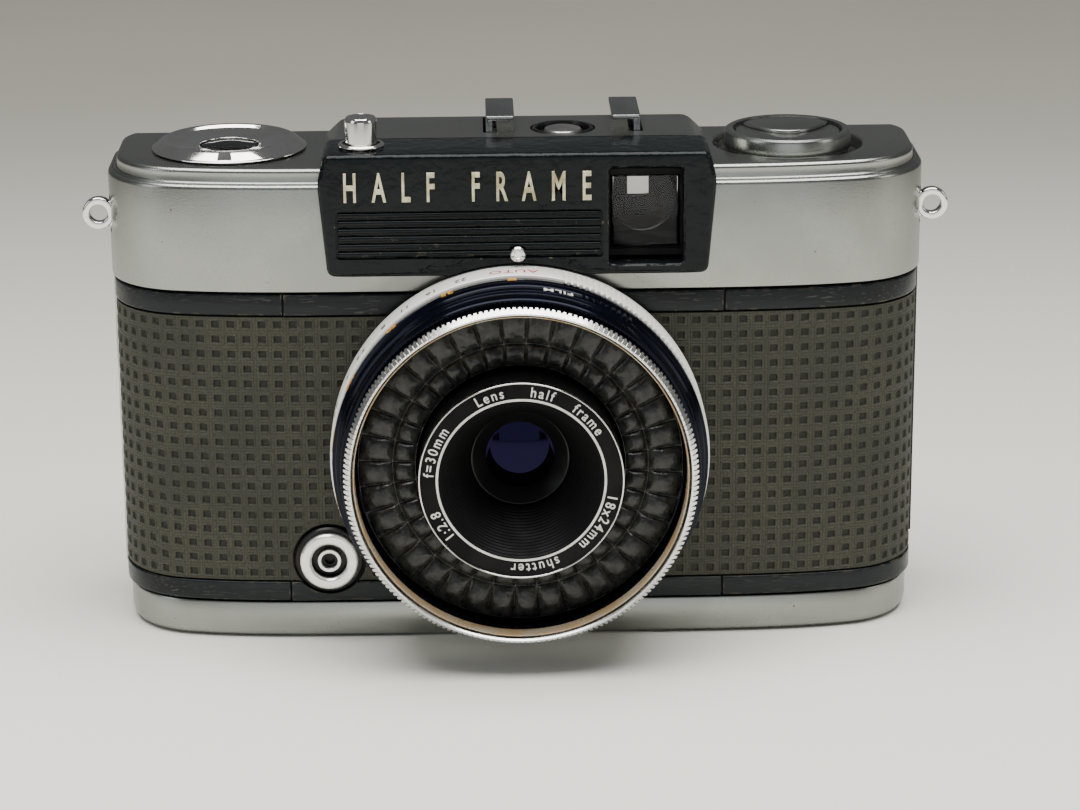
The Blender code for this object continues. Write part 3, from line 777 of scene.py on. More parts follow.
class Wrap:
    # measures along the front and round one end, for strips and coverings
    def __init__(self, inset):
        self.points = frontSide(inset, 0.0, 90, 40)
        self.points.append((plan["halfWidth"] - inset, plan["skinEnd"]))
        self.lengths = [0.0]
        for before, after in zip(self.points, self.points[1:]):
            self.lengths.append(self.lengths[-1] + math.dist(before, after))

    def at(self, distance, lift, side):
        index = min(max(bisect.bisect_right(self.lengths, distance) - 1, 0), len(self.points) - 2)
        before, after = Vector(self.points[index]), Vector(self.points[index + 1])
        share = (distance - self.lengths[index]) / (self.lengths[index + 1] - self.lengths[index])
        here = before.lerp(after, share)
        forward = self.direction(index, share)
        spot = here + Vector((forward.y, -forward.x)) * lift
        return spot.x * side, spot.y

    def direction(self, index, share):
        steps = []
        for step in (index - 1, index, index + 1):
            step = min(max(step, 0), len(self.points) - 2)
            steps.append((Vector(self.points[step + 1]) - Vector(self.points[step])).normalized())
        first, last = steps[0] + steps[1], steps[1] + steps[2]
        return first.lerp(last, share).normalized()


def wrapStrip(name, side, start, inset, profile):
    # a closed (lift, height) profile swept from X = start to the end of the skin
    wrap = Wrap(inset)
    stations = [start + (wrap.lengths[-1] - start) * step / 110 for step in range(111)]
    rings = []
    for station in stations:
        ring = []
        for lift, height in profile:
            x, y = wrap.at(station, lift, side)
            ring.append((x, y, height))
        rings.append(ring)
    return loft(name, rings)


print("helpers ready")

# top cover and bottom plate

coverShape = {
    "low": span("top_cover")[0].z,
    "plateau": 64.5,
    "wall": 1.0,
    "foot": [(0.6, 0), (0.24, 0.04), (0.06, 0.16), (0.0, 0.42)],  # (inset, height over the lower edge)
    "backRound": (16.2, 58.0, 4.8, 6.6),  # middle in Y and Z, then how far it reaches
    "housing": (25.7, 23.0, 64.4),  # half widths at the foot and top, height of the shoulder
    "housingY": (1.0, 14.3),
    "room": (24.6, 22.5, 64.0),  # the hollow of the housing, in the same order
    "roomY": (2.0, 13.3),
    "recess": {"radius": 9.8, "floor": 62.5, "roof": 61.4, "wall": 1.0},
    "shaftHole": 2.1,
    "counterHole": 9.0,
    "contactHole": 4.3,
    "fasciaHole": ((-23.8, -12, 52.2), (23.8, 0.9, 72)),
    "finderHole": ((10.8, -2, 52.2), (22.3, 3, 64.8)),
    "eyeHole": (4.8, 4.7, 1.2),  # half width, half height, corner
    "wheelSlot": {"half": 8.5, "low": 49.3, "high": 53.7, "corner": 1.0, "y": (16, 24)},
    "backWall": (18, 24),  # Y range that clears the rear wall
    "shoeSlit": {"out": 9.6, "half": 0.9, "y": (3.7, 13.1)},
    "lugSlit": {"x": (51.0, 59.0), "clear": 0.3, "half": 2.55},
    # the stepped front edge: two fine beads, a hollow and a round bead, as (inset, height)
    "edge": [(0.0, 61.95), (0.05, 62.2), (0.18, 62.42), (0.4, 62.56), (0.56, 62.58), (0.62, 62.5),
             (0.68, 62.5), (0.74, 62.66), (0.88, 62.8), (1.04, 62.82), (1.1, 62.74), (1.16, 62.8),
             (1.2, 63.1), (1.24, 63.4), (1.24, 63.75), (1.2, 63.95), (1.26, 64.15), (1.42, 64.34),
             (1.66, 64.46), (1.95, 64.5)],
}


def backCutter(name, shift):
    centreY, centreZ, reachY, reachZ = coverShape["backRound"]
    outline = []
    for step in range(15):
        angle = math.pi / 2 * step / 14
        outline.append((centreY - shift + reachY * math.sin(angle),
                        centreZ - shift + reachZ * math.cos(angle)))
    outline += [(30, outline[-1][1]), (30, 80), (outline[0][0], 80)]
    return prism(name, outline, -70, 70, "X")


def makeTopCover():
    shape = coverShape
    low, plateau, wall = shape["low"], shape["plateau"], shape["wall"]
    houseTop = span("front_fascia")[1].z
    foot = [(inset, low + rise) for inset, rise in shape["foot"]]
    cover = planLoft("topCover", plan["coverBack"], foot + shape["edge"])
    wide, narrow, shoulder = shape["housing"]
    outline = [(-wide, 60, 0), (wide, 60, 0), (wide, shoulder), (narrow, houseTop), (-narrow, houseTop),
               (-wide, shoulder)]
    housing = prism("housing", rounded(outline, 0.9), *shape["housingY"], "Y", edge=0.7, lowEdge=0)
    cover = unite(carve(cover, backCutter("backRound", 0.0)), housing)
    room = planLoft("room", plan["coverBack"], [(wall, low - 2), (wall, 61.2), (wall + 1.4, 62.2),
                                                (wall + 1.4, plateau - wall)])
    room = carve(room, backCutter("roomRound", wall))
    wide, narrow, shoulder = shape["room"]
    houseRoom = [(-wide, 60), (wide, 60), (wide, shoulder), (narrow, houseTop - wall),
                 (-narrow, houseTop - wall), (-wide, shoulder)]
    recess, rewindCentre = shape["recess"], (rewindX, axleY, 0)
    radius, floor = recess["radius"], recess["floor"]
    well = drill("well", radius + recess["wall"], recess["roof"], plateau - 0.5, rewindCentre, 96)
    tools = [room, prism("houseRoom", houseRoom, *shape["roomY"], "Y")]
    cover = unite(carve(cover, *tools), well)
    flare = [(0, floor), (radius - 0.2, floor), (radius, floor + 0.2), (radius, plateau - 0.45),
             (radius + 0.12, plateau - 0.15), (radius + 0.45, plateau + 0.1), (radius + 0.45, 70), (0, 70)]
    eyeWide, eyeHigh, eyeCorner = shape["eyeHole"]
    eyeHole = rectangle(eyeX - eyeWide, eyeZ - eyeHigh, eyeX + eyeWide, eyeZ + eyeHigh)
    slot = shape["wheelSlot"]
    wheelSlot = rectangle(wheelX - slot["half"], slot["low"], wheelX + slot["half"], slot["high"])
    tools = [
        lathe("recess", flare, rewindCentre, 96, False),
        drill("shaftHole", shape["shaftHole"], 60, 66, rewindCentre, 32),
        drill("counterHole", shape["counterHole"], 60, 70, (counterX, axleY, 0)),
        drill("contactHole", shape["contactHole"], 65, 70, (contactX, contactY, 0)),
        block("fasciaHole", *shape["fasciaHole"]),
        block("finderHole", *shape["finderHole"]),
        prism("eyeHole", rounded(eyeHole, eyeCorner), *shape["backWall"], "Y"),
        prism("wheelSlot", rounded(wheelSlot, slot["corner"]), *slot["y"], "Y"),
    ]
    lugLow, lugHigh = span("strap_lug_right")
    lugZ = middle("strap_lug_right").z
    shoeSlit, lugSlit = shape["shoeSlit"], shape["lugSlit"]
    for side in (-1, 1):
        slit = shoeX + side * shoeSlit["out"]
        tools.append(block(f"shoeSlit{side}", (slit - shoeSlit["half"], shoeSlit["y"][0], 65),
                           (slit + shoeSlit["half"], shoeSlit["y"][1], 70)))
        reach = sorted(side * x for x in lugSlit["x"])
        tools.append(block(f"lugSlit{side}", (reach[0], lugLow.y - lugSlit["clear"], lugZ - lugSlit["half"]),
                           (reach[1], lugHigh.y + lugSlit["clear"], lugZ + lugSlit["half"])))
    place(carve(cover, *tools), "satinChrome", "camera", "satin_chrome", "top_cover", angle=28)


baseShape = {
    # (inset, height) for the plate, (radius, height) for round pieces
    "profile": [(2.6, 0.0), (1.9, 0.08), (1.35, 0.35), (1.0, 0.8), (0.84, 1.35), (0.8, 2.0), (0.8, 4.9),
                (0.9, 5.12), (1.15, 5.2)],
    "room": [(2.0, 1.0), (2.0, 7.0)],
    "tripodHole": 5.8,
    "releaseHole": 2.5,
    "screwHole": 2.0,
    "screw": [(0, 0.22), (1.5, 0.2), (1.72, 0.34), (1.7, 0.5), (0.9, 1.3), (0.9, 5.0), (0, 5.0)],
    "screwSlot": (0.22, 0.62),  # half width, depth
    "bush": [(0, 4.6), (7.0, 4.6), (7.0, 1.4), (5.5, 1.4), (5.5, 0.3), (5.35, 0.15), (3.4, 0.15)],
    "thread": {"turns": 6, "pitch": 0.55, "root": (3.1, 0.45), "crest": (3.3, 0.72), "end": 4.0},
    "button": [(0, 4.2), (3.2, 4.2), (3.2, 1.5), (2.1, 1.5), (2.1, 0.4), (1.95, 0.24), (1.6, 0.2),
               (0.9, 0.32), (0, 0.36)],
}


def makeBase():
    shape = baseShape
    tripod = (*middle("tripod_socket").xy, 0)
    release = (*middle("rewind_release_button").xy, 0)
    tools = [planLoft("baseRoom", plan["bodyBack"], shape["room"])]
    for name, centre in (("tripodHole", tripod), ("releaseHole", release)):
        radius = shape[name]
        flare = [(0, -1), (radius + 0.3, -1), (radius + 0.3, 0.05), (radius, 0.3), (radius, 3), (0, 3)]
        tools.append(lathe(name, flare, centre, 64, False))
    half, depth = shape["screwSlot"]
    for node in ("base_screw_1", "base_screw_2"):
        x, y = middle(node).xy
        tools.append(drill(node + "Hole", shape["screwHole"], -1, 3, (x, y, 0), 32))
        # countersunk screw with a slot
        screw = lathe(node + "Slotted", shape["screw"], (x, y, 0), 40, False)
        screw = carve(screw, block("slot", (x - 2, y - half, 0), (x + 2, y + half, depth)))
        place(screw, "steel", "camera", "steel", node)
    base = planLoft("bottomPlate", plan["bodyBack"], shape["profile"])
    place(carve(base, *tools), "satinChrome", "camera", "satin_chrome", "bottom_plate", angle=28)
    # the tripod bush has fine ridges inside in place of its thread
    thread = shape["thread"]
    ridges = []
    for turn in range(thread["turns"]):
        for radius, height in (thread["root"], thread["crest"]):
            ridges.append((radius, height + turn * thread["pitch"]))
    end = [(thread["root"][0], thread["end"]), (0, thread["end"])]
    place(lathe("tripodBush", shape["bush"] + ridges + end, tripod, 72, False), "steel", "camera", "steel",
          "tripod_socket")
    place(lathe("releaseButton", shape["button"], release, 48, False), "brightChrome", "rewind_release",
          "polished_chrome", "rewind_release_button")


makeTopCover()
makeBase()
print("top cover and base made")

# painted bands and the pitted coverings

bands = {
    "lower": (span("trim_lower_left")[0].z, span("trim_lower_left")[1].z),
    "upper": (span("trim_upper_left")[0].z, span("trim_upper_left")[1].z),
    "inset": 0.3,
    "thickness": 0.6,
    "edge": 0.28,
    "plateStep": -5.45,  # Y of the front plate behind the covering
    "plateHole": 20.5,
    "syncHole": 4.9,
}


def makeBands():
    edge = bands["edge"]
    for height in ("lower", "upper"):
        low, high = bands[height]
        profile = rounded([(0, low), (0, high), (-bands["thickness"], high, 0.05),
                           (-bands["thickness"], low, 0.05)], edge)
        for side, word in ((-1, "left"), (1, "right")):
            node = f"trim_{height}_{word}"
            start = -span(node)[1].x if side < 0 else span(node)[0].x
            strip = wrapStrip(f"{height}Band{word.title()}", side, start, bands["inset"], profile)
            place(strip, "bandPaint", "camera", "black_paint", node, angle=50)
    plateLow, plateHigh = span("front_plate")
    back, step = plateHigh.y, bands["plateStep"]
    lower, upper = bands["lower"], bands["upper"]
    outline = [(plateLow.y, lower[0]), (back, lower[0], 0), (back, upper[1], 0), (plateLow.y, upper[1]),
               (plateLow.y, upper[0]), (step, upper[0], 0), (step, lower[1], 0), (plateLow.y, lower[1])]
    plate = prism("frontPlate", rounded(outline, edge), plateLow.x, plateHigh.x, "X", edge=0.1)
    hole = drill("plateHole", bands["plateHole"], -12, 12, (0, 0, lensZ), 96, "front")
    syncHole = drill("syncHole", bands["syncHole"], 4, 12, (syncX, 0, syncZ), 64, "front")
    place(carve(plate, hole, syncHole), "bandPaint", "camera", "black_paint", "front_plate", angle=40)


cloth = {
    "pitch": 2.02,
    "pit": 0.255,  # half a pit, as a share of the pitch
    "chamfer": 0.07,
    "depth": 0.26,
    "lip": 0.045,
    "thickness": 0.34,
    "inset": 0.4,
    "start": 12.0,  # X where the front sheets begin, behind the lens
    "lensHole": (23.3, 0.3),  # radius, and the plain rim round it
    "syncHole": (4.9, 0.7),
    "doorSink": 0.05,
}


def pitCell(pitchX, pitchZ):
    # one square of the covering: a flat border, a low lip and a pit, facing -Y
    pit, chamfer = cloth["pit"], cloth["chamfer"]
    rings = [(pit + 0.065, 0.0), (pit + 0.03, cloth["lip"]), (pit, 0.0), (pit - 0.06, -cloth["depth"])]
    border = rings[0][0] - chamfer
    points, faces = [], []
    for half, lift in rings:
        inner = half - chamfer
        for a, b in ((half, -inner), (half, inner), (inner, half), (-inner, half),
                     (-half, inner), (-half, -inner), (-inner, -half), (inner, -half)):
            points.append((a * pitchX, -lift, b * pitchZ))
    outer = ((0.5, -border), (0.5, border), (0.5, 0.5), (border, 0.5), (-border, 0.5), (-0.5, 0.5),
             (-0.5, border), (-0.5, -border), (-0.5, -0.5), (-border, -0.5), (border, -0.5), (0.5, -0.5))
    points += [(a * pitchX, 0.0, b * pitchZ) for a, b in outer]
    for ring in range(3):
        for step in range(8):
            after = (step + 1) % 8
            faces.append((ring * 8 + step, ring * 8 + after, ring * 8 + 8 + after, ring * 8 + 8 + step))
    faces.append(tuple(range(24, 32)))
    for quarter in range(4):
        start, rim = quarter * 2, 32 + quarter * 3
        nextRim = 32 + (quarter * 3 + 3) % 12
        faces.append((start, rim, rim + 1, start + 1))
        faces.append((start + 1, rim + 1, rim + 2, nextRim, (start + 2) % 8))
    mesh = bpy.data.meshes.new("pitCell")
    mesh.from_pydata([Vector(point) * mm for point in points], [], faces)
    return addObject("pitCell", mesh)


def makeCovering(name, width, height, bend, holes, outwardAxis):
    columns, rows = round(width / cloth["pitch"]), round(height / cloth["pitch"])
    pitchX, pitchZ = width / columns, height / rows
    made = repeat(name, gridTree, pitCell(pitchX, pitchZ), "leatherCloth", Columns=columns, Rows=rows,
                  Column_Pitch=pitchX * mm, Row_Pitch=pitchZ * mm)
    shape = bmesh.new()
    shape.from_mesh(made.data)
    bmesh.ops.remove_doubles(shape, verts=shape.verts, dist=0.00001)
    cells = shape.loops.layers.uv.new("cells")
    for face in shape.faces:
        for loop in face.loops:
            loop[cells].uv = (loop.vert.co.x / mm / pitchX + 0.5, loop.vert.co.z / mm / pitchZ + 0.5)
    spots = {vert: (vert.co.x / mm + pitchX / 2, -vert.co.y / mm, vert.co.z / mm + pitchZ / 2)
             for vert in shape.verts}
    inside = set()
    for vert, (x, lift, z) in spots.items():
        for holeX, holeZ, radius, flat in holes:
            away = math.hypot(x - holeX, z - holeZ)
            if away < radius:
                inside.add(vert)
                scale = radius / max(away, 0.01)
                x, z, lift = holeX + (x - holeX) * scale, holeZ + (z - holeZ) * scale, 0.0
            elif away < radius + flat:
                lift = 0.0
        spots[vert] = (x, lift, z)
    gone = [face for face in shape.faces if all(vert in inside for vert in face.verts)]
    bmesh.ops.delete(shape, geom=gone, context="FACES")
    for vert in shape.verts:
        vert.co = Vector(bend(*spots[vert])) * mm
    bmesh.ops.remove_doubles(shape, verts=shape.verts, dist=0.000002)
    shape.normal_update()
    total = sum((face.normal for face in shape.faces), Vector())
    if total.dot(Vector(outwardAxis)) < 0:
        bmesh.ops.reverse_faces(shape, faces=shape.faces)
    shape.to_mesh(made.data)
    shape.free()
    solid = made.modifiers.new("thickness", "SOLIDIFY")
    solid.thickness = cloth["thickness"] * mm
    solid.offset = -1
    return settle(made)


def makeCoverings():
    start = cloth["start"]
    wrap = Wrap(cloth["inset"])
    low, high = span("leatherette_left")[0].z, span("leatherette_left")[1].z
    for side, word in ((-1, "left"), (1, "right")):
        def bend(x, lift, z):
            across, along = wrap.at(start + x, lift, side)
            return across, along, low + z
        holes = [(-start, lensZ - low, *cloth["lensHole"])]
        if side < 0:
            holes.append((-syncX - start, syncZ - low, *cloth["syncHole"]))
        sheet = makeCovering(f"covering{word.title()}", wrap.lengths[-1] - start, high - low, bend, holes,
                             (0, -1, 0))
        place(sheet, None, "camera", "leatherette", f"leatherette_{word}", angle=45)
    doorLow, doorHigh = span("door_covering")

    def flat(x, lift, z):
        return doorHigh.x - x, doorHigh.y - cloth["doorSink"] + lift, doorLow.z + z
    sheet = makeCovering("doorCloth", doorHigh.x - doorLow.x, doorHigh.z - doorLow.z, flat, [], (0, 1, 0))
    place(sheet, None, "back_door", "leatherette", "door_covering", angle=45)


makeBands()
makeCoverings()
print("bands and coverings made")

# enamelled fascia, shutter button and finder

fasciaShape = {
    "front": span("front_fascia")[0].y,
    "back": span("front_fascia")[1].y,
    "right": [(22.4, 50.8, 2.2), (24.6, 50.9, 2.4), (25.7, 63.4, 1.6), (24.7, 67.0, 0.9)],
    "slabBack": -6.9,
    "window": ((11.8, 52.3), (21.3, 64.9)),
    "ribs": {"left": -23.4, "right": 11.0, "low": 53.35, "pitch": 1.03, "count": 6, "depth": 0.6,
             "height": 0.64},
    "letters": {"words": "HALF FRAME", "left": -22.4, "right": 9.5, "low": 60.95, "height": 3.75,
                "rise": 0.3},
    "ringNotch": 25.09,  # clears the aperture ring
    "buttonHole": 2.45,
    "stud": [(0, 9.42), (0.45, 9.42), (0.5, 9.5), (0.85, 9.44), (1.0, 9.25), (1.02, 8.8), (0, 8.8)],
}


def makeFascia():
    shape = fasciaShape
    front, right = shape["front"], shape["right"]
    outline = [(x, z, r) for x, z, r in right] + [(-x, z, r) for x, z, r in reversed(right)]
    body = prism("fascia", rounded(outline, 1.0, steps=8), front, shape["back"], "Y", edge=0, lowEdge=0.75,
                 steps=6)
    (winLeft, winLow), (winRight, winHigh) = shape["window"]
    window = rectangle(winLeft, winLow, winRight, winHigh)
    flare = loft("windowFlare", [[(x, y, z) for x, z in insetLoop(rounded(window, 0.5), -grow)]
                                 for y, grow in ((-5.4, 0.0), (front + 0.5, 0.0), (front + 0.2, 0.1),
                                                 (front, 0.35), (front - 1, 1.4))])
    ribs = shape["ribs"]
    ribHigh = ribs["low"] + ribs["pitch"] * ribs["count"] + 0.1
    pocket = rounded(rectangle(ribs["left"], ribs["low"] - 0.12, ribs["right"], ribHigh), 0.5)
    tools = [
        block("fasciaBack", (-30, shape["slabBack"], 40), (30, 5, 64.8)),
        block("fasciaPocket", (-22.8, -7.5, 52.8), (22.8, -6, 64.9)),
        flare,
        drill("buttonHole", shape["buttonHole"], 60, 70, (buttonX, buttonY, 0), 48),
        drill("ringNotch", shape["ringNotch"], -12, 12, (0, 0, lensZ), 160, "front"),
        prism("ribPocket", pocket, front - 1, front + ribs["depth"], "Y"),
    ]
    body = carve(body, *tools)
    place(body, "enamel", "camera", "black_enamel", "front_fascia", angle=30)
    # long round-topped ribs, cut away where the aperture ring passes
    length = ribs["right"] - ribs["left"] - 0.5
    half = ribs["height"] / 2
    bar = prism("rib", rounded([(front + 0.02, -half), (front + ribs["depth"] + 0.1, -half, 0),
                                (front + ribs["depth"] + 0.1, half, 0), (front + 0.02, half)], 0.3),
                ribs["left"] + 0.25, ribs["left"] + 0.25 + length, "X", edge=0.15)
    bars = repeat("fasciaRibs", gridTree, bar, "enamel", Columns=1, Rows=ribs["count"],
                  Column_Pitch=0.0, Row_Pitch=ribs["pitch"] * mm)
    bars.data.transform(Matrix.Translation((0, 0, (ribs["low"] + ribs["pitch"] / 2) * mm)))
    notch = drill("ribNotch", shape["ringNotch"], -12, 12, (0, 0, lensZ), 160, "front")
    place(carve(bars, notch), "enamel", "camera", "black_enamel", angle=40)
    spec = shape["letters"]
    words = lettering("fasciaLetters", spec["words"], spec["height"] * 1.42, spec["rise"] + 0.2, 0.5, 2.5,
                      0.1)
    scale = (spec["right"] - spec["left"]) / textWidth(words)
    words.data.transform(Matrix.Diagonal((scale, 1, 1, 1)))
    words.data.transform(Matrix.Translation((spec["left"] * mm, (front - spec["rise"] / 2 + 0.1) * mm,
                                             spec["low"] * mm)))
    place(softEdges(words, 0.05, 1), "creamMetal", "camera", "black_enamel", angle=30)
    pin = middle("index_pin")
    place(lathe("indexStud", shape["stud"], (pin.x, 0, pin.z), 32, False, "front"), "brightChrome", "camera",
          "polished_chrome", "index_pin")


buttonShape = {
    "radius": 2.1,
    "stem": (1.0, 66.0),  # radius, and the height of the shoulder
    # the dished cap: (radius, depth under the top)
    "cap": [(0, 0.25), (1.2, 0.22), (1.55, 0), (1.85, 0.06), (2.05, 0.3)],
    "capEdge": 0.6,
    "collar": {"outer": 3.0, "shoulder": 2.7, "bore": 2.45, "lip": 0.2},
}


def makeButton():
    shape = buttonShape
    centre = (buttonX, buttonY, 0)
    low, top = span("shutter_button")[0].z, span("shutter_button")[1].z
    cap = [(radius, top - depth) for radius, depth in shape["cap"]]
    stem, shoulder = shape["stem"]
    side = [(shape["radius"], top - shape["capEdge"]), (shape["radius"], shoulder), (stem, shoulder),
            (stem, low), (0, low)]
    place(lathe("shutterButton", cap + side, centre, 72, False), "brightChrome", "shutter_button",
          "polished_chrome", "shutter_button")
    low, high = span("button_collar")[0].z, span("button_collar")[1].z
    flange = shape["collar"]
    collar = [(flange["outer"], low), (flange["outer"], low + flange["lip"]), (flange["shoulder"], high),
              (flange["bore"], high), (flange["bore"], low)]
    place(lathe("buttonFlange", rounded(collar, 0.12), centre, 72), "brightChrome", "camera",
          "polished_chrome", "button_collar")


finderShape = {
    "bore": ((12.0, -10, 53.7), (21.1, 11.8, 63.6)),
    "back": ((15.4, 10, 55.9), (17.9, 20, 58.1)),
    "eyeCorner": 1.2,
    "eyeRelief": (4.2, 3.6, 0.7),  # radii at the back and inside, depth of the slope
    "eyeGlass": (3.3, 3.1, 0.2),  # radius, radius of the flat, bevel
}


def makeFinder():
    shape = finderShape
    tube = carve(block("finderTube", *span("viewfinder_tube")), block("finderBore", *shape["bore"]),
                 block("finderBack", *shape["back"]))
    place(tube, "mattBlack", "camera", "black_plastic", "viewfinder_tube")
    place(softBlock("finderWindow", *span("viewfinder_window"), 0.15), "windowGlass", "camera",
          "clear_glass", "viewfinder_window")
    low, high = span("viewfinder_objective")
    centre = (low + high) / 2
    radius = (high.x - low.x) / 2
    # a weak lens that thins towards its middle
    lens = [(0, -low.y - 0.16), (radius * 0.5, -low.y - 0.12), (radius - 0.1, -low.y),
            (radius, -low.y - 0.15), (radius, -high.y + 0.1), (radius - 0.1, -high.y), (0, -high.y)]
    place(lathe("finderLens", lens, (centre.x, 0, centre.z), 72, False, "front"), "windowGlass", "camera",
          "clear_glass", "viewfinder_objective")
    low, high = span("eyepiece_frame")
    corners = rounded(rectangle(low.x, low.z, high.x, high.z), shape["eyeCorner"], steps=6)
    eye = prism("eyepieceFrame", corners, low.y, high.y, "Y", edge=0.5, lowEdge=0.1)
    wide, narrow, slope = shape["eyeRelief"]
    bore = [(0, -30), (wide, -30), (wide, -high.y), (narrow, -high.y + slope), (narrow, -10), (0, -10)]
    eye = carve(eye, lathe("eyeBore", bore, (eyeX, 0, eyeZ), 64, False, "front"))
    place(eye, "blackPlastic", "camera", "black_plastic", "eyepiece_frame", angle=30)
    low, high = span("eyepiece_glass")
    radius, flat, bevel = shape["eyeGlass"]
    glass = [(0, -low.y), (flat, -low.y), (radius, -low.y - bevel), (radius, -high.y + bevel),
             (flat, -high.y), (0, -high.y)]
    place(lathe("eyepieceGlass", glass, (eyeX, 0, eyeZ), 64, False, "front"), "windowGlass", "camera",
          "clear_glass", "eyepiece_glass")


makeFascia()
makeButton()
makeFinder()
print("fascia and finder made")

# the lens, from the aperture ring to the glass

# Angles are in degrees. Notches and teeth count from the viewer's right up towards the top,
# and words and numbers count clockwise from the top.
apertureShape = {
    "bore": 19.6,
    "notches": {"count": 30, "step": 1.9, "first": 20.5, "depth": 0.42, "low": 0.9, "half": (0.03, 0.84)},
    "auto": ("AUTO", 1.9, 6.0, 2.4),  # words, size, first angle, distance behind the front
    "stops": ("22", "16", "11", "8", "5.6", "4", "2.8"),
    "stopSize": 1.75,
    "stopAngles": (-15.5, 9.5),  # first, step
    "stopBack": 2.3,
}


def wedge(name, profile, half, tipHalf):
    # a tooth at +X: a profile in radius and height, narrower at its larger radii
    most, least = max(r for r, _ in profile), min(r for r, _ in profile)
    rings = []
    for side in (-1, 1):
        ring = []
        for radius, height in profile:
            share = (radius - least) / (most - least)
            ring.append((radius, side * (half + (tipHalf - half) * share), height))
        rings.append(ring)
    return loft(name, rings)


def makeApertureRing():
    shape = apertureShape
    low, high = -span("aperture_ring")[1].y, -span("aperture_ring")[0].y
    radius, bore = span("aperture_ring")[1].x, shape["bore"]
    profile = rounded([(radius, low), (radius, high), (bore, high), (bore, low)], 0.22)
    ring = lensLathe("apertureBody", profile, 240)
    notch = shape["notches"]
    bottom, foot = radius - notch["depth"], low + notch["low"]
    # each notch is a wedge that opens outwards
    past, above = radius + 0.6, high + 1
    cutter = wedge("notch", [(bottom, foot), (past, foot), (past, above), (bottom, above)], *notch["half"])
    notches = lensRepeat("notches", cutter, "satinChrome", notch["count"], notch["first"], notch["step"])
    ring = carve(ring, notches)
    ring.name = "apertureRing"
    place(ring, "mattAlloy", "aperture_ring", "satin_chrome", "aperture_ring", angle=30)
    words, size, first, back = shape["auto"]
    auto = bendRound(lettering("autoMark", words, size, 0.06, 1.15, 1.1), radius, first, -high + back, True)
    place(auto, "redPaint", "aperture_ring", "satin_chrome")
    first, step = shape["stopAngles"]
    stops = []
    for index, number in enumerate(shape["stops"]):
        mark = lettering("stop" + str(index), number, shape["stopSize"], 0.06)
        stops.append(bendRound(mark, radius, first - step * index, -high + shape["stopBack"], True))
    place(gather("apertureNumbers", *stops), "blackPaint", "aperture_ring", "satin_chrome")


speedShape = {
    "bore": (19.6, 21.4, 1.6),  # radii behind and in front, depth of the step
    # the stepped outside: (radius, distance in front of the ring's back)
    "outside": [(24.38, 0), (24.35, 1.75), (23.95, 1.95), (23.8, 2.15), (23.76, 3.75), (23.4, 3.95),
                (23.36, 4.2), (23.45, 4.3)],
    "nose": (23.2, 23.0, 0.2),
    "teeth": {"count": 9, "step": 2.0, "first": 54.0, "half": (0.3, 0.18),
              "profile": [(23.6, 2.2), (24.2, 2.3), (24.1, 3.5), (23.6, 3.7)]},
    "numbers": ("25", "50", "100", "200", "400"),
    "numberAngles": (-20, 20.0),
    "numberSize": 1.8,
    "numberRadius": 24.4,
    "numberFront": 0.25,
    "dot": {"profile": [(24.2, -0.5), (24.43, -0.45), (24.43, 0.45), (24.2, 0.5)], "half": (0.7, 0.5),
            "angle": 92, "up": 0.8},
    "white": ("FILM", 1.7, 17.0, 2.3),  # words, size, first angle, distance in front of the back
    "whiteRadius": 23.8,
}


def makeFilmSpeedRing():
    shape = speedShape
    low, high = -span("film_speed_ring")[1].y, -span("film_speed_ring")[0].y
    behind, before, depth = shape["bore"]
    wide, narrow, lip = shape["nose"]
    outside = [(radius, low + reach) for radius, reach in shape["outside"]]
    profile = [(behind, low), *outside, (wide, high - lip), (narrow, high), (before, high),
               (before, low + depth), (behind, low + depth)]
    place(lensLathe("speedBarrel", rounded(profile, 0.06, steps=2), 200), "blueBlack", "film_speed_ring",
          "blue_black", "film_speed_ring", angle=30)
    teeth = shape["teeth"]
    tooth = wedge("speedTooth", [(radius, low + reach) for radius, reach in teeth["profile"]], *teeth["half"])
    place(lensRepeat("speedTeeth", tooth, "blueBlack", teeth["count"], teeth["first"], teeth["step"]),
          "blueBlack", "film_speed_ring", "blue_black")
    first, step = shape["numberAngles"]
    numbers = []
    for index, number in enumerate(shape["numbers"]):
        mark = lettering("speed" + str(index), number, shape["numberSize"], 0.06, bold=0.03)
        numbers.append(bendRound(mark, shape["numberRadius"], first - step * index,
                                 -low - shape["numberFront"], True))
    spec = shape["dot"]
    dot = wedge("speedDot", spec["profile"], *spec["half"])
    turn = Matrix.Rotation(math.radians(spec["angle"]), 4, "Z")
    dot.data.transform(turn @ Matrix.Translation((0, 0, (low + spec["up"]) * mm)))
    numbers.append(toLens(dot))
    place(gather("speedNumbers", *numbers), "yellowPaint", "film_speed_ring", "blue_black")
    words, size, first, front = shape["white"]
    white = lettering("speedWhite", words, size, 0.06, 1.1, 1.1, 0.03)
    white = bendRound(white, shape["whiteRadius"], first, -low - front, True)
    place(white, "whitePaint", "film_speed_ring", "blue_black")


focusShape = {
    "knurls": 200,
    "waist": 1.25,  # how far behind the front the dark sleeve ends
    "bore": 21.5,
    # (distance inside the rim, distance behind the front)
    "bevel": [(0.22, 0.85), (0.75, 0.1), (0.88, 0.08), (1.1, 0.4)],
    "boreDepth": 0.75,
    "lining": [(21.47, 0.75), (21.4, 0.8), (21.32, 1.0)],
    "liningBore": 21.3,
    "toothHalf": (0.3, 0.17),
}


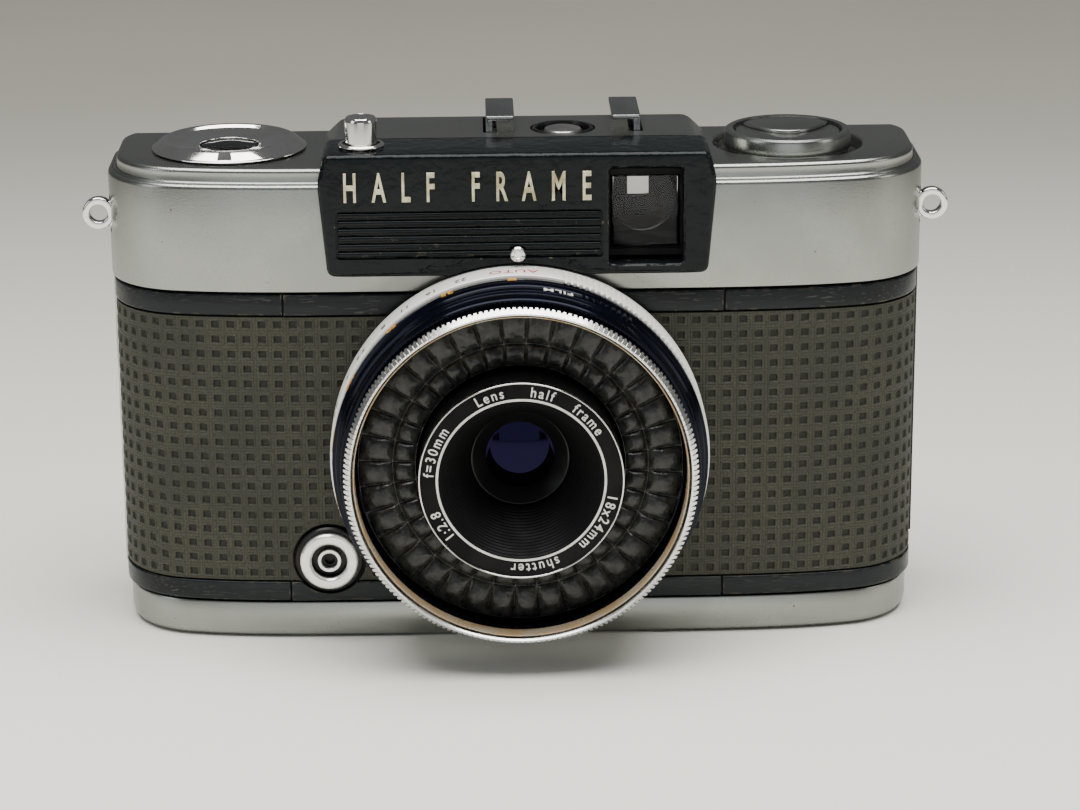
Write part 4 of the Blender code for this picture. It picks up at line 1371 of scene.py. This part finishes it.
def makeFocusRing():
    shape = focusShape
    low, high = -span("focus_ring")[1].y, -span("focus_ring")[0].y
    outer = span("focus_ring")[1].x
    # a dark sleeve behind, a knurled bevel in front and a polished lining whose gold tint is a painted
    # reflection
    waist, bore = high - shape["waist"], shape["bore"]
    sleeve = [(outer - 0.3, low), (outer - 0.3, waist), (outer - 0.72, waist), (outer - 0.72, low)]
    bevel = [(outer - inset, high - depth) for inset, depth in shape["bevel"]]
    body = [(outer - 0.75, waist), (outer - 0.22, waist), *bevel, (bore, high - shape["boreDepth"]),
            (bore, waist)]
    edge = [(radius, high - depth) for radius, depth in shape["lining"]]
    lining = [(edge[0][0], low), *edge, (shape["liningBore"], low)]
    tooth = wedge("knurl", [(outer - 0.45, waist + 0.05), (outer, waist + 0.15), (outer, high - 0.82),
                            (outer - 0.62, high), (outer - 0.82, high - 0.06), (outer - 0.45, high - 0.8)],
                  *shape["toothHalf"])
    knurl = lensRepeat("focusKnurl", tooth, "knurled", shape["knurls"])
    ring = gather("focusRing", lensLathe("focusBody", rounded(body, 0.06, steps=2), 200), knurl)
    place(ring, "knurled", "focus_ring", "polished_chrome", "focus_ring", angle=30)
    place(lensLathe("focusSleeve", rounded(sleeve, 0.05, steps=2), 160), "blueBlack", "focus_ring",
          "polished_chrome")
    # the lining's gold tint is a painted reflection
    place(lensLathe("focusLining", lining, 160), "warmChrome", "focus_ring", "polished_chrome")


cellShape = {
    "count": 36,
    "rows": ((13.6, 16.5), (16.5, 20.95)),  # inner and outer radius
    "rise": 0.85,
    "grid": 7,
    "scallop": 0.2,
    "floor": 0.15,
    "base": {"bore": 13.55, "thickness": 0.3, "sink": 0.25},
    "turn": 2.0,
}


def bubbleCell(inner, outer, base):
    # a domed cell at +X whose sides follow the radii
    spec = cellShape
    grid = spec["grid"]
    halfAngle = math.pi / spec["count"]
    points, faces = [], []
    for row in range(grid + 1):
        v = math.sin(math.pi / 2 * (-1 + 2 * row / grid))
        for column in range(grid + 1):
            u = math.sin(math.pi / 2 * (-1 + 2 * column / grid))
            radius = inner + (outer - inner) * (v + 1) / 2
            angle = u * halfAngle
            # a scallop: its crest bows outwards
            crest = v + spec["scallop"] * (u * u - 0.5) * (1 - v * v)
            swell = max(0.0, 1 - u * u) ** 0.5 * max(0.0, 1 - crest * crest) ** 0.5
            points.append((radius * math.cos(angle), radius * math.sin(angle), base + spec["rise"] * swell))
    side = grid + 1
    for row in range(grid):
        for column in range(grid):
            start = row * side + column
            faces.append((start, start + 1, start + side + 1, start + side))
    # a floor under the dome closes it
    floor = len(points)
    border = ([(0, i) for i in range(side)] + [(i, grid) for i in range(1, side)]
              + [(grid, i) for i in range(grid - 1, -1, -1)] + [(i, 0) for i in range(grid - 1, 0, -1)])
    for row, column in border:
        x, y, _ = points[row * side + column]
        points.append((x, y, base - spec["floor"]))
    count = len(border)
    for index, (row, column) in enumerate(border):
        after = (index + 1) % count
        nextRow, nextColumn = border[after]
        faces.append((row * side + column, nextRow * side + nextColumn, floor + after, floor + index))
    faces.append(tuple(range(floor, floor + count)))
    return meshObject("bubbleCell", points, faces)


def makeBubbleRing():
    low = -span("bubble_lens_ring")[1].y
    outer = span("bubble_lens_ring")[1].x
    base = cellShape["base"]
    bore, top = base["bore"], low + base["thickness"]
    parts = [lensLathe("bubbleBase", [(outer, low), (outer, top), (bore, top), (bore, low)])]
    for index, (inner, rim) in enumerate(cellShape["rows"]):
        cell = bubbleCell(inner, rim, low + base["sink"])
        parts.append(lensRepeat(f"bubbleRow{index}", cell, "cellPlastic", cellShape["count"],
                                cellShape["turn"]))
    place(gather("bubbleRing", *parts), "cellPlastic", "camera", "cell_plastic", "bubble_lens_ring", angle=50)
    keepNode("selenium_cell", "selenium")


nameShape = {
    # the bright rim: (radius, distance behind the front)
    "rim": [(13.2, 0.8), (13.2, 0.3), (13.12, 0.05), (13.03, 0), (12.93, 0.08), (12.88, 0.45), (12.2, 0.5),
            (12.2, 0.8)],
    "barrel": (13.12, 11.3, 0.82),  # radii, distance behind the front
    "face": 0.36,
    "faceRadii": (12.88, 11.0, 10.55),
    "faceThickness": 0.1,
    "line": (10.92, 10.62, 0.04),  # radii, rise
    # words and the angle past the top where each begins, in degrees clockwise
    "words": (("f=30mm", -87), ("Lens", -29), ("half", 6), ("frame", 35), ("18x24mm", 100),
              ("shutter", 156), ("1:2.8", 229)),
    "wordSize": 1.85,
    "wordRadius": 11.25,
}


def makeNameRing():
    shape = nameShape
    low, high = -span("name_ring")[1].y, -span("name_ring")[0].y
    rim = rounded([(radius, high - depth) for radius, depth in shape["rim"]], 0.05, steps=2)
    place(lensLathe("nameRim", rim, 200), "brightChrome", "camera", "polished_chrome", "name_ring", angle=30)
    outer, inner, depth = shape["barrel"]
    barrel = [(outer, low), (outer, high - depth), (inner, high - depth), (inner, low)]
    place(lensLathe("nameBarrel", barrel, 160), "blackPlastic", "camera", "black_plastic", angle=30)
    face = high - shape["face"]
    back = face - shape["faceThickness"]
    outer, middleRadius, inner = shape["faceRadii"]
    plate = [(outer, face), (outer, back), (middleRadius, back), (inner, back), (inner, face)]
    place(lensLathe("nameFace", plate, 160), "mattBlack", "camera", "black_plastic")
    outer, inner, rise = shape["line"]
    line = [(outer, face + rise), (outer, face), (inner, face), (inner, face + rise)]
    marks = [lensLathe("innerLine", line, 160)]
    for index, (word, first) in enumerate(shape["words"]):
        mark = lettering(f"nameWord{index}", word, shape["wordSize"], 0.06, 0.86, 1.3, 0.02)
        marks.append(bendFlat(mark, shape["wordRadius"], first, -face))
    place(gather("nameLettering", *marks), "whitePaint", "camera", "polished_chrome")


baffleShape = {
    "ridges": 17,
    "top": 10.5,  # radii of the ridged slope
    "bottom": 6.5,
    "lip": 0.3,
    "tread": (0.72, 0.05, 0.12),  # share of a step, then how far its edge moves in and forwards
    "outer": (10.9, 7.4),
    "bore": 6.4,
    "retainer": (6.9, 6.25),
    "glassRim": 4.42,
    "glassEdge": 11.2,
    "glassCurve": 14.0,
    "glassOuter": 6.8,
    "kept": (("lens_mount", "mattBlack"), ("lens_barrel", "mattBlack"), ("shutter_plate", "mattBlack"),
             ("shutter_blade_left", "castAlloy"), ("shutter_blade_right", "castAlloy"),
             ("rear_element", "coatedGlass")),
}


def makeLensFront():
    # the baffle steps down to the glass in fine ridges
    shape = baffleShape
    low, high = -span("lens_cone")[1].y, -span("lens_cone")[0].y
    seat = low + shape["lip"]
    narrowing, falling = shape["bottom"] - shape["top"], seat - high
    share, inwards, forwards = shape["tread"]
    steps = []
    for step in range(shape["ridges"]):
        here, after = step / shape["ridges"], (step + share) / shape["ridges"]
        steps.append((shape["top"] + narrowing * here, high + falling * here))
        steps.append((shape["top"] + narrowing * after - inwards, high + falling * after + forwards))
    outer, foot = shape["outer"]
    profile = [(outer, high), *steps, (shape["bore"], seat), (shape["bore"], low), (foot, low),
               (outer, high - 0.9)]
    place(lensLathe("lensBaffle", profile, 120), "mattBlack", "camera", "black_plastic", "lens_cone",
          angle=25)
    edge, rim = shape["glassEdge"], shape["glassRim"]
    outer, inner = shape["retainer"]
    retainer = [(outer, low - 0.3), (inner, low - 0.3), (rim + 0.1, edge + 0.2), (rim, edge),
                (rim, edge - 0.1), (outer, edge - 0.1)]
    place(lensLathe("glassRetainer", rounded(retainer, 0.08), 120), "blackPlastic", "camera", "black_plastic")
    # a dome whose curve is given by its radius
    curve, back = shape["glassCurve"], -span("front_element")[1].y
    rimFall = math.cos(math.asin((rim + 0.1) / curve))
    dome = []
    for step in range(11):
        reach = (rim + 0.1) * step / 10
        dome.append((reach, edge + curve * (math.cos(math.asin(reach / curve)) - rimFall)))
    glass = dome + [(shape["glassOuter"], edge - 0.15), (shape["glassOuter"], back), (0, back)]
    place(lensLathe("frontGlass", glass, 120, False), "coatedGlass", "camera", "clear_glass", "front_element")
    for node, finishName in shape["kept"]:
        keepNode(node, finishName)


syncShape = {
    # (radius, height)
    "base": [(0, 5.15), (4.5, 5.15), (4.5, 6.35), (4.3, 6.55), (3.9, 6.6), (2.3, 6.6), (2.25, 6.1),
             (1.6, 6.1), (1.6, 6.3), (0.7, 6.3), (0.7, 5.6), (0, 5.6)],
    "pin": [(1.55, 6.35), (1.55, 7.1), (1.1, 7.1), (1.1, 6.35)],
    "collar": {"outer": 3.9, "bore": 2.35, "bevel": 0.3},
}


def makeSyncSocket():
    centre = (syncX, 0, syncZ)
    place(lathe("syncBase", syncShape["base"], centre, 72, False, "front"), "blackPlastic", "camera",
          "black_plastic", "sync_socket_base")
    low, high = -span("sync_socket_ring")[1].y, -span("sync_socket_ring")[0].y
    spec = syncShape["collar"]
    outer, bore, bevel = spec["outer"], spec["bore"], spec["bevel"]
    collar = rounded([(outer, low), (outer, high - bevel), (outer - bevel, high), (bore + bevel, high),
                      (bore, high - bevel), (bore, low)], 0.12)
    ring = gather("syncCollar", lathe("collar", collar, centre, 72, True, "front"),
                  lathe("pin", rounded(syncShape["pin"], 0.1), centre, 48, True, "front"))
    place(ring, "silver", "camera", "polished_chrome", "sync_socket_ring")


makeApertureRing()
makeFilmSpeedRing()
makeFocusRing()
makeBubbleRing()
makeNameRing()
makeLensFront()
makeSyncSocket()
print("lens made")

# shoe, counter, rewind and strap lugs


shoeShape = {
    "foot": 65.0,
    "baseTop": 65.6,
    "legEnd": 12.8,
    # half widths: over the legs, inside them, and where the ears end
    "outer": 10.15,
    "inner": 9.3,
    "ear": 6.4,
    "earThickness": 0.62,
    # (radius, height)
    "cup": [(0, 65.9), (4.1, 65.9), (4.1, 66.95), (3.95, 67.13), (3.6, 67.1), (3.5, 66.9), (3.45, 66.3),
            (0, 66.3)],
    "contact": [(0, 66.5), (2.45, 66.5), (2.5, 66.75), (2.35, 66.95), (1.6, 67.15), (0.8, 67.25),
                (0, 67.25)],
}


def makeShoe():
    shape = shoeShape
    low, high = span("accessory_shoe")
    top, foot, legEnd = high.z, shape["foot"], shape["legEnd"]
    outer = shape["outer"]
    # a base, two legs and the ears that bend in over the foot of a flash
    parts = [block("shoeBase", (shoeX - outer + 0.1, low.y + 0.1, foot),
                   (shoeX + outer - 0.1, legEnd - 0.1, shape["baseTop"]))]
    for side in (-1, 1):
        leg = sorted((shoeX + side * (outer - 0.03), shoeX + side * shape["inner"]))
        ear = sorted((shoeX + side * outer, shoeX + side * shape["ear"]))
        parts.append(block(f"leg{side}", (leg[0], low.y, foot + 0.1), (leg[1], legEnd, top - 0.2)))
        parts.append(softBlock(f"ear{side}", (ear[0], low.y - 0.02, top - shape["earThickness"]),
                               (ear[1], high.y, top), 0.14))
    shoe = unite(*parts)
    shoe.name = "accessoryShoe"
    place(shoe, "shoeSteel", "camera", "satin_chrome", "accessory_shoe", angle=30)
    centre = (contactX, contactY, 0)
    place(lathe("shoeInsulator", shape["cup"], centre, 72, False), "blackPlastic", "camera",
          "black_plastic", "shoe_insulator")
    place(lathe("shoeContact", shape["contact"], centre, 72, False), "steel", "camera", "steel",
          "shoe_contact")


counterShape = {
    # skirt, bore and window are (radius, height); rim is (radius, distance under the top)
    "skirt": [(10.2, 64.72), (10.2, 64.85), (9.95, 64.98)],
    "rim": [(8.75, 0.03), (8.45, 0), (8.2, 0.1), (7.9, 0.45)],
    "bore": [(4.3, 65.12), (3.95, 65.0), (3.9, 62.4), (8.7, 62.4), (8.7, 64.7)],
    "index": ((0.95, 9.8, 65.06), (0.8, 8.75)),  # half width, radius and height at its foot, then its top
    "window": [(0, 64.3), (3.6, 64.3), (3.72, 64.5), (3.7, 64.85), (3.4, 65.0), (1.8, 65.06), (0, 65.08)],
    # (radius, distance under the dial's top)
    "dial": [(0, 0), (7.5, 0), (7.6, 0.1), (7.6, 0.8), (1.0, 0.8)],
    "numbers": 12,
    "countStep": 6,
    "numberSize": 1.15,
    "numberRadius": (2.2, 2.6),  # feet of the figures, and the arc that their width is measured on
}


def makeCounter():
    shape = counterShape
    centre = (counterX, axleY, 0)
    top = span("counter_bezel")[1].z
    rim = [(radius, top - depth) for radius, depth in shape["rim"]]
    bezel = rounded(shape["skirt"] + rim + shape["bore"], 0.1, steps=2)
    place(lathe("counterBezel", bezel, centre, 144), "brightChrome", "camera", "polished_chrome",
          "counter_bezel", angle=24)
    # an index patch lies on the front of the bevel
    (footHalf, footRadius, footHeight), (topHalf, topRadius) = shape["index"]
    corners = ((-footHalf, footRadius, footHeight), (footHalf, footRadius, footHeight),
               (topHalf, topRadius, top), (-topHalf, topRadius, top))
    patch = loft("counterIndex", [
        [(counterX + half, axleY - radius, height + lift) for half, radius, height in corners]
        for lift in (-0.25, 0.03)])
    place(patch, "castAlloy", "camera", "polished_chrome")
    place(lathe("counterWindow", shape["window"], centre, 72, False), "smokedGlass", "camera", "clear_glass",
          "counter_window")
    low, high = span("counter_dial")
    dial = [(radius, high.z - depth) for radius, depth in shape["dial"]]
    dial += [(dial[-1][0], low.z), (0, low.z)]
    place(lathe("counterDial", dial, centre, 96, False), "blackPlastic", "counter_dial", "black_plastic",
          "counter_dial")
    foot, arc = shape["numberRadius"]
    numbers = []
    for index in range(shape["numbers"]):
        mark = lettering(f"count{index}", str(index * shape["countStep"]), shape["numberSize"], 0.05)
        mark.data.transform(Matrix.Translation((-textWidth(mark) / 2 * mm, 0, 0)))
        for vertex in mark.data.vertices:
            x, y, z = vertex.co / mm
            angle = math.tau * index / shape["numbers"] + x / arc
            reach = foot + z
            vertex.co = Vector((counterX + reach * math.sin(angle), axleY - reach * math.cos(angle),
                                high.z + 0.02 - y)) * mm
        numbers.append(outward(mark))
    place(gather("counterNumbers", *numbers), "whitePaint", "counter_dial", "black_plastic")


rewindShape = {
    "radius": 8.4,
    "dish": [(0, 65.2), (6.95, 65.2), (7.1, 65.3)],  # (radius, height)
    # (radius, distance under the knob's top)
    "rim": [(7.25, 0.06), (7.45, 0), (7.95, 0), (8.3, 0.2), (8.4, 0.5), (8.4, 2.2)],
    # the crank is part of a disc; its front edge bows forwards. Angles are in degrees from +X.
    "plate": {"radius": 6.42, "start": 29.0, "front": 2.1, "bow": 5.2},
    "sill": {"radius": 6.9, "start": 153.0, "reach": 5.75, "low": 65.1, "top": 66.05, "gap": 0.35},
    "arcSteps": 40,
    "edgeSteps": 24,
}


def crankEdge(across, reach, gap=0.0):
    plate = rewindShape["plate"]
    return rewindX + across, axleY - plate["front"] - gap + plate["bow"] * (across / reach) ** 2


def knobArc(radius, start, end):
    steps = rewindShape["arcSteps"]
    points = []
    for step in range(steps + 1):
        angle = math.radians(start + (end - start) * step / steps)
        points.append((rewindX + radius * math.cos(angle), axleY + radius * math.sin(angle)))
    return points


def makeRewind():
    shape = rewindShape
    centre = (rewindX, axleY, 0)
    low, high = span("rewind_knob")
    radius = shape["radius"]
    rim = [(reach, high.z - depth) for reach, depth in shape["rim"]]
    knob = shape["dish"] + rim + [(radius - 0.25, high.z - 2.5), (radius - 0.3, low.z + 0.1),
                                  (radius - 0.4, low.z), (0, low.z)]
    place(lathe("rewindKnob", knob, centre, 144, False), "satinChrome", "rewind_knob", "satin_chrome",
          "rewind_knob", angle=28)
    low, high = span("rewind_crank")
    plate, sill, steps = shape["plate"], shape["sill"], shape["edgeSteps"]
    arc = knobArc(plate["radius"], plate["start"], 180 - plate["start"])
    reach = plate["radius"] * math.cos(math.radians(plate["start"]))
    arc += [crankEdge(-reach + 2 * reach * step / steps, reach) for step in range(1, steps)]
    place(prism("rewindCrank", arc, low.z, high.z, edge=0.2), "satinChrome", "rewind_crank",
          "polished_chrome", "rewind_crank", angle=35)
    # the knob's own face fills the dish round the plate
    outline = knobArc(sill["radius"], sill["start"], 540 - sill["start"])
    for step in range(steps + 1):
        across = sill["reach"] - 2 * sill["reach"] * step / steps
        outline.append(crankEdge(across, reach, sill["gap"]))
    place(prism("rewindSill", outline, sill["low"], sill["top"], edge=0.15), "satinChrome", "rewind_knob",
          "satin_chrome", angle=35)
    keepNode("rewind_fork", "steel")
    keepNode("rewind_bush", "brass")


lugShape = {
    "loopX": 55.05,
    "loop": [(2.15, -0.72), (2.15, 0.72), (1.15, 0.72), (1.15, -0.72)],  # (radius, depth)
    # X range, then half sizes in Y and Z, and the soft edge
    "stem": ((51.4, 53.75), 0.7, 1.75, 0.25),
    "pad": ((51.0, 52.3), 0.75, 3.4, 0.15),
}


def makeLugs():
    for side, word in ((-1, "left"), (1, "right")):
        at = middle(f"strap_lug_{word}")
        loop = rounded(lugShape["loop"], 0.34, steps=4)
        parts = [lathe(f"lugLoop{word.title()}", loop, (side * lugShape["loopX"], at.y, at.z), 72, True,
                       "front")]
        for name in ("stem", "pad"):
            reach, deep, tall, edge = lugShape[name]
            start, end = sorted(side * x for x in reach)
            parts.append(softBlock(name, (start, at.y - deep, at.z - tall), (end, at.y + deep, at.z + tall),
                                   edge))
        lug = unite(*parts)
        lug.name = f"strapLug{word.title()}"
        place(lug, "brightChrome", "camera", "polished_chrome", f"strap_lug_{word}", angle=35)


makeShoe()
makeCounter()
makeRewind()
makeLugs()
print("top fittings made")

# hinged back and thumb wheel


doorShape = {
    # (inset, distance from the nearer rim)
    "edge": [(0.1, 0), (-0.18, 0.1), (-0.3, 0.4)],
    "hollow": 0.6,  # inset of the inside
    "kept": (("hinge_pin", "steel"), ("door_latch", "bandPaint"), ("pressure_plate", "mattBlack"),
             ("pressure_spring", "brass"), ("take_up_spool", "blackPlastic"), ("sprocket", "steel"),
             ("body_casting", "castAlloy")),
}


def makeDoor():
    low, high = span("back_door")
    edge, wall = doorShape["edge"], doorShape["hollow"]
    levels = [(inset, low.z + depth) for inset, depth in edge]
    levels += [(inset, high.z - depth) for inset, depth in reversed(edge)]
    door = planLoft("backDoor", plan["bodyBack"], levels)
    inner = planLoft("doorRoom", plan["bodyBack"], [(wall, 0), (wall, 60)])
    door = carve(door, inner, block("doorFront", (-70, -40, -10), (70, low.y, 70)))
    place(door, "bandPaint", "back_door", "black_paint", "back_door", angle=30)
    for node, finishName in doorShape["kept"]:
        keepNode(node, finishName)


wheelShape = {
    "rim": 12.4,
    "bore": 1.5,
    "web": 0.3,  # how far the middle lies under the faces
    "teeth": 72,
    "toothHalf": (0.36, 0.2),
    # (distance inside the rim, distance from the nearer face)
    "tooth": [(0.7, 0.1), (0.12, 0.25), (0, 0.5)],
}


def makeWheel():
    shape = wheelShape
    low, high = span("advance_wheel")
    rim, bore, web = shape["rim"], shape["bore"], shape["web"]
    core = rounded([(rim - 0.5, low.z), (rim - 0.5, high.z), (rim - 2.2, high.z), (rim - 2.4, high.z - web),
                    (bore, high.z - web), (bore, low.z + web), (rim - 2.4, low.z + web),
                    (rim - 2.2, low.z)], 0.15)
    body = lathe("wheelBody", core, (0, 0, 0), 144)
    lower = [(rim - inset, low.z + depth) for inset, depth in shape["tooth"]]
    upper = [(rim - inset, high.z - depth) for inset, depth in reversed(shape["tooth"])]
    tooth = wedge("wheelTooth", lower + upper, *shape["toothHalf"])
    teeth = repeat("wheelTeeth", ringTree, tooth, "blackPlastic", Count=shape["teeth"],
                   Step=math.tau / shape["teeth"], First=0.0)
    wheel = gather("advanceWheel", body, teeth)
    wheel.data.transform(Matrix.Translation((wheelX * mm, wheelY * mm, 0)))
    place(wheel, "blackPlastic", "advance_wheel", "black_plastic", "advance_wheel", angle=35)


makeDoor()
makeWheel()
print("back and transport made")

# camera, lights and floor

studio = {
    # camera place in millimetres, its turn in degrees
    "camera": (-5.67, -427.68, 164.94),
    "turn": (-1.145, 90 - 17.431, -0.421),
    "lens": 112.08,
    "sensor": 36.0,
    # name: place in metres, aim, size, power, colour
    "lights": {
        "topSoftbox": ((0.0, -0.1, 0.72), (0, -0.02, 0.0), (0.8, 0.6), 12.5, (1.0, 0.985, 0.96)),
        "leftFill": ((-0.9, -0.5, 0.45), (0, 0, 0.04), (0.4, 0.6), 1.7, (0.95, 0.98, 1.0)),
        "rightFill": ((0.95, -0.35, 0.4), (0, 0, 0.04), (0.3, 0.5), 1.2, (1.0, 0.97, 0.93)),
        "windowPanel": ((0.0, -1.25, 0.2), (0, 0, 0.04), (1.0, 0.42), 1.3, (0.93, 0.96, 1.0)),
    },
    "air": (0.132, 0.136, 0.138, 1.0),
    "floor": rectangle(-1500, -1300, 1500, 900),
}


def aim(made, start, target):
    made.location = start
    made.rotation_euler = (Vector(target) - Vector(start)).to_track_quat("-Z", "Y").to_euler()


def makeStudio():
    camera = bpy.data.objects.new("camera", bpy.data.cameras.new("camera"))
    bpy.context.scene.collection.objects.link(camera)
    camera.data.lens = studio["lens"]
    camera.data.sensor_width = studio["sensor"]
    camera.data.clip_start = 0.01
    pan, tilt, roll = (math.radians(angle) for angle in studio["turn"])
    turn = Matrix.Rotation(pan, 4, "Z") @ Matrix.Rotation(tilt, 4, "X") @ Matrix.Rotation(roll, 4, "Z")
    camera.matrix_world = Matrix.Translation(Vector(studio["camera"]) * mm) @ turn
    bpy.context.scene.camera = camera
    for name, (start, target, size, power, colour) in studio["lights"].items():
        light = bpy.data.lights.new(name, "AREA")
        light.shape = "RECTANGLE"
        light.size, light.size_y = size
        light.energy = power
        light.color = colour
        lamp = bpy.data.objects.new(name, light)
        bpy.context.scene.collection.objects.link(lamp)
        aim(lamp, start, target)
    world = bpy.data.worlds.new("studioAir")
    bpy.context.scene.world = world
    world.use_nodes = True
    world.node_tree.nodes["Background"].inputs["Color"].default_value = studio["air"]
    floor = meshObject("studioFloor", [(x, y, 0) for x, y in studio["floor"]], [(0, 1, 2, 3)])
    floor.data.materials.append(finishes["floorPaint"])


makeStudio()
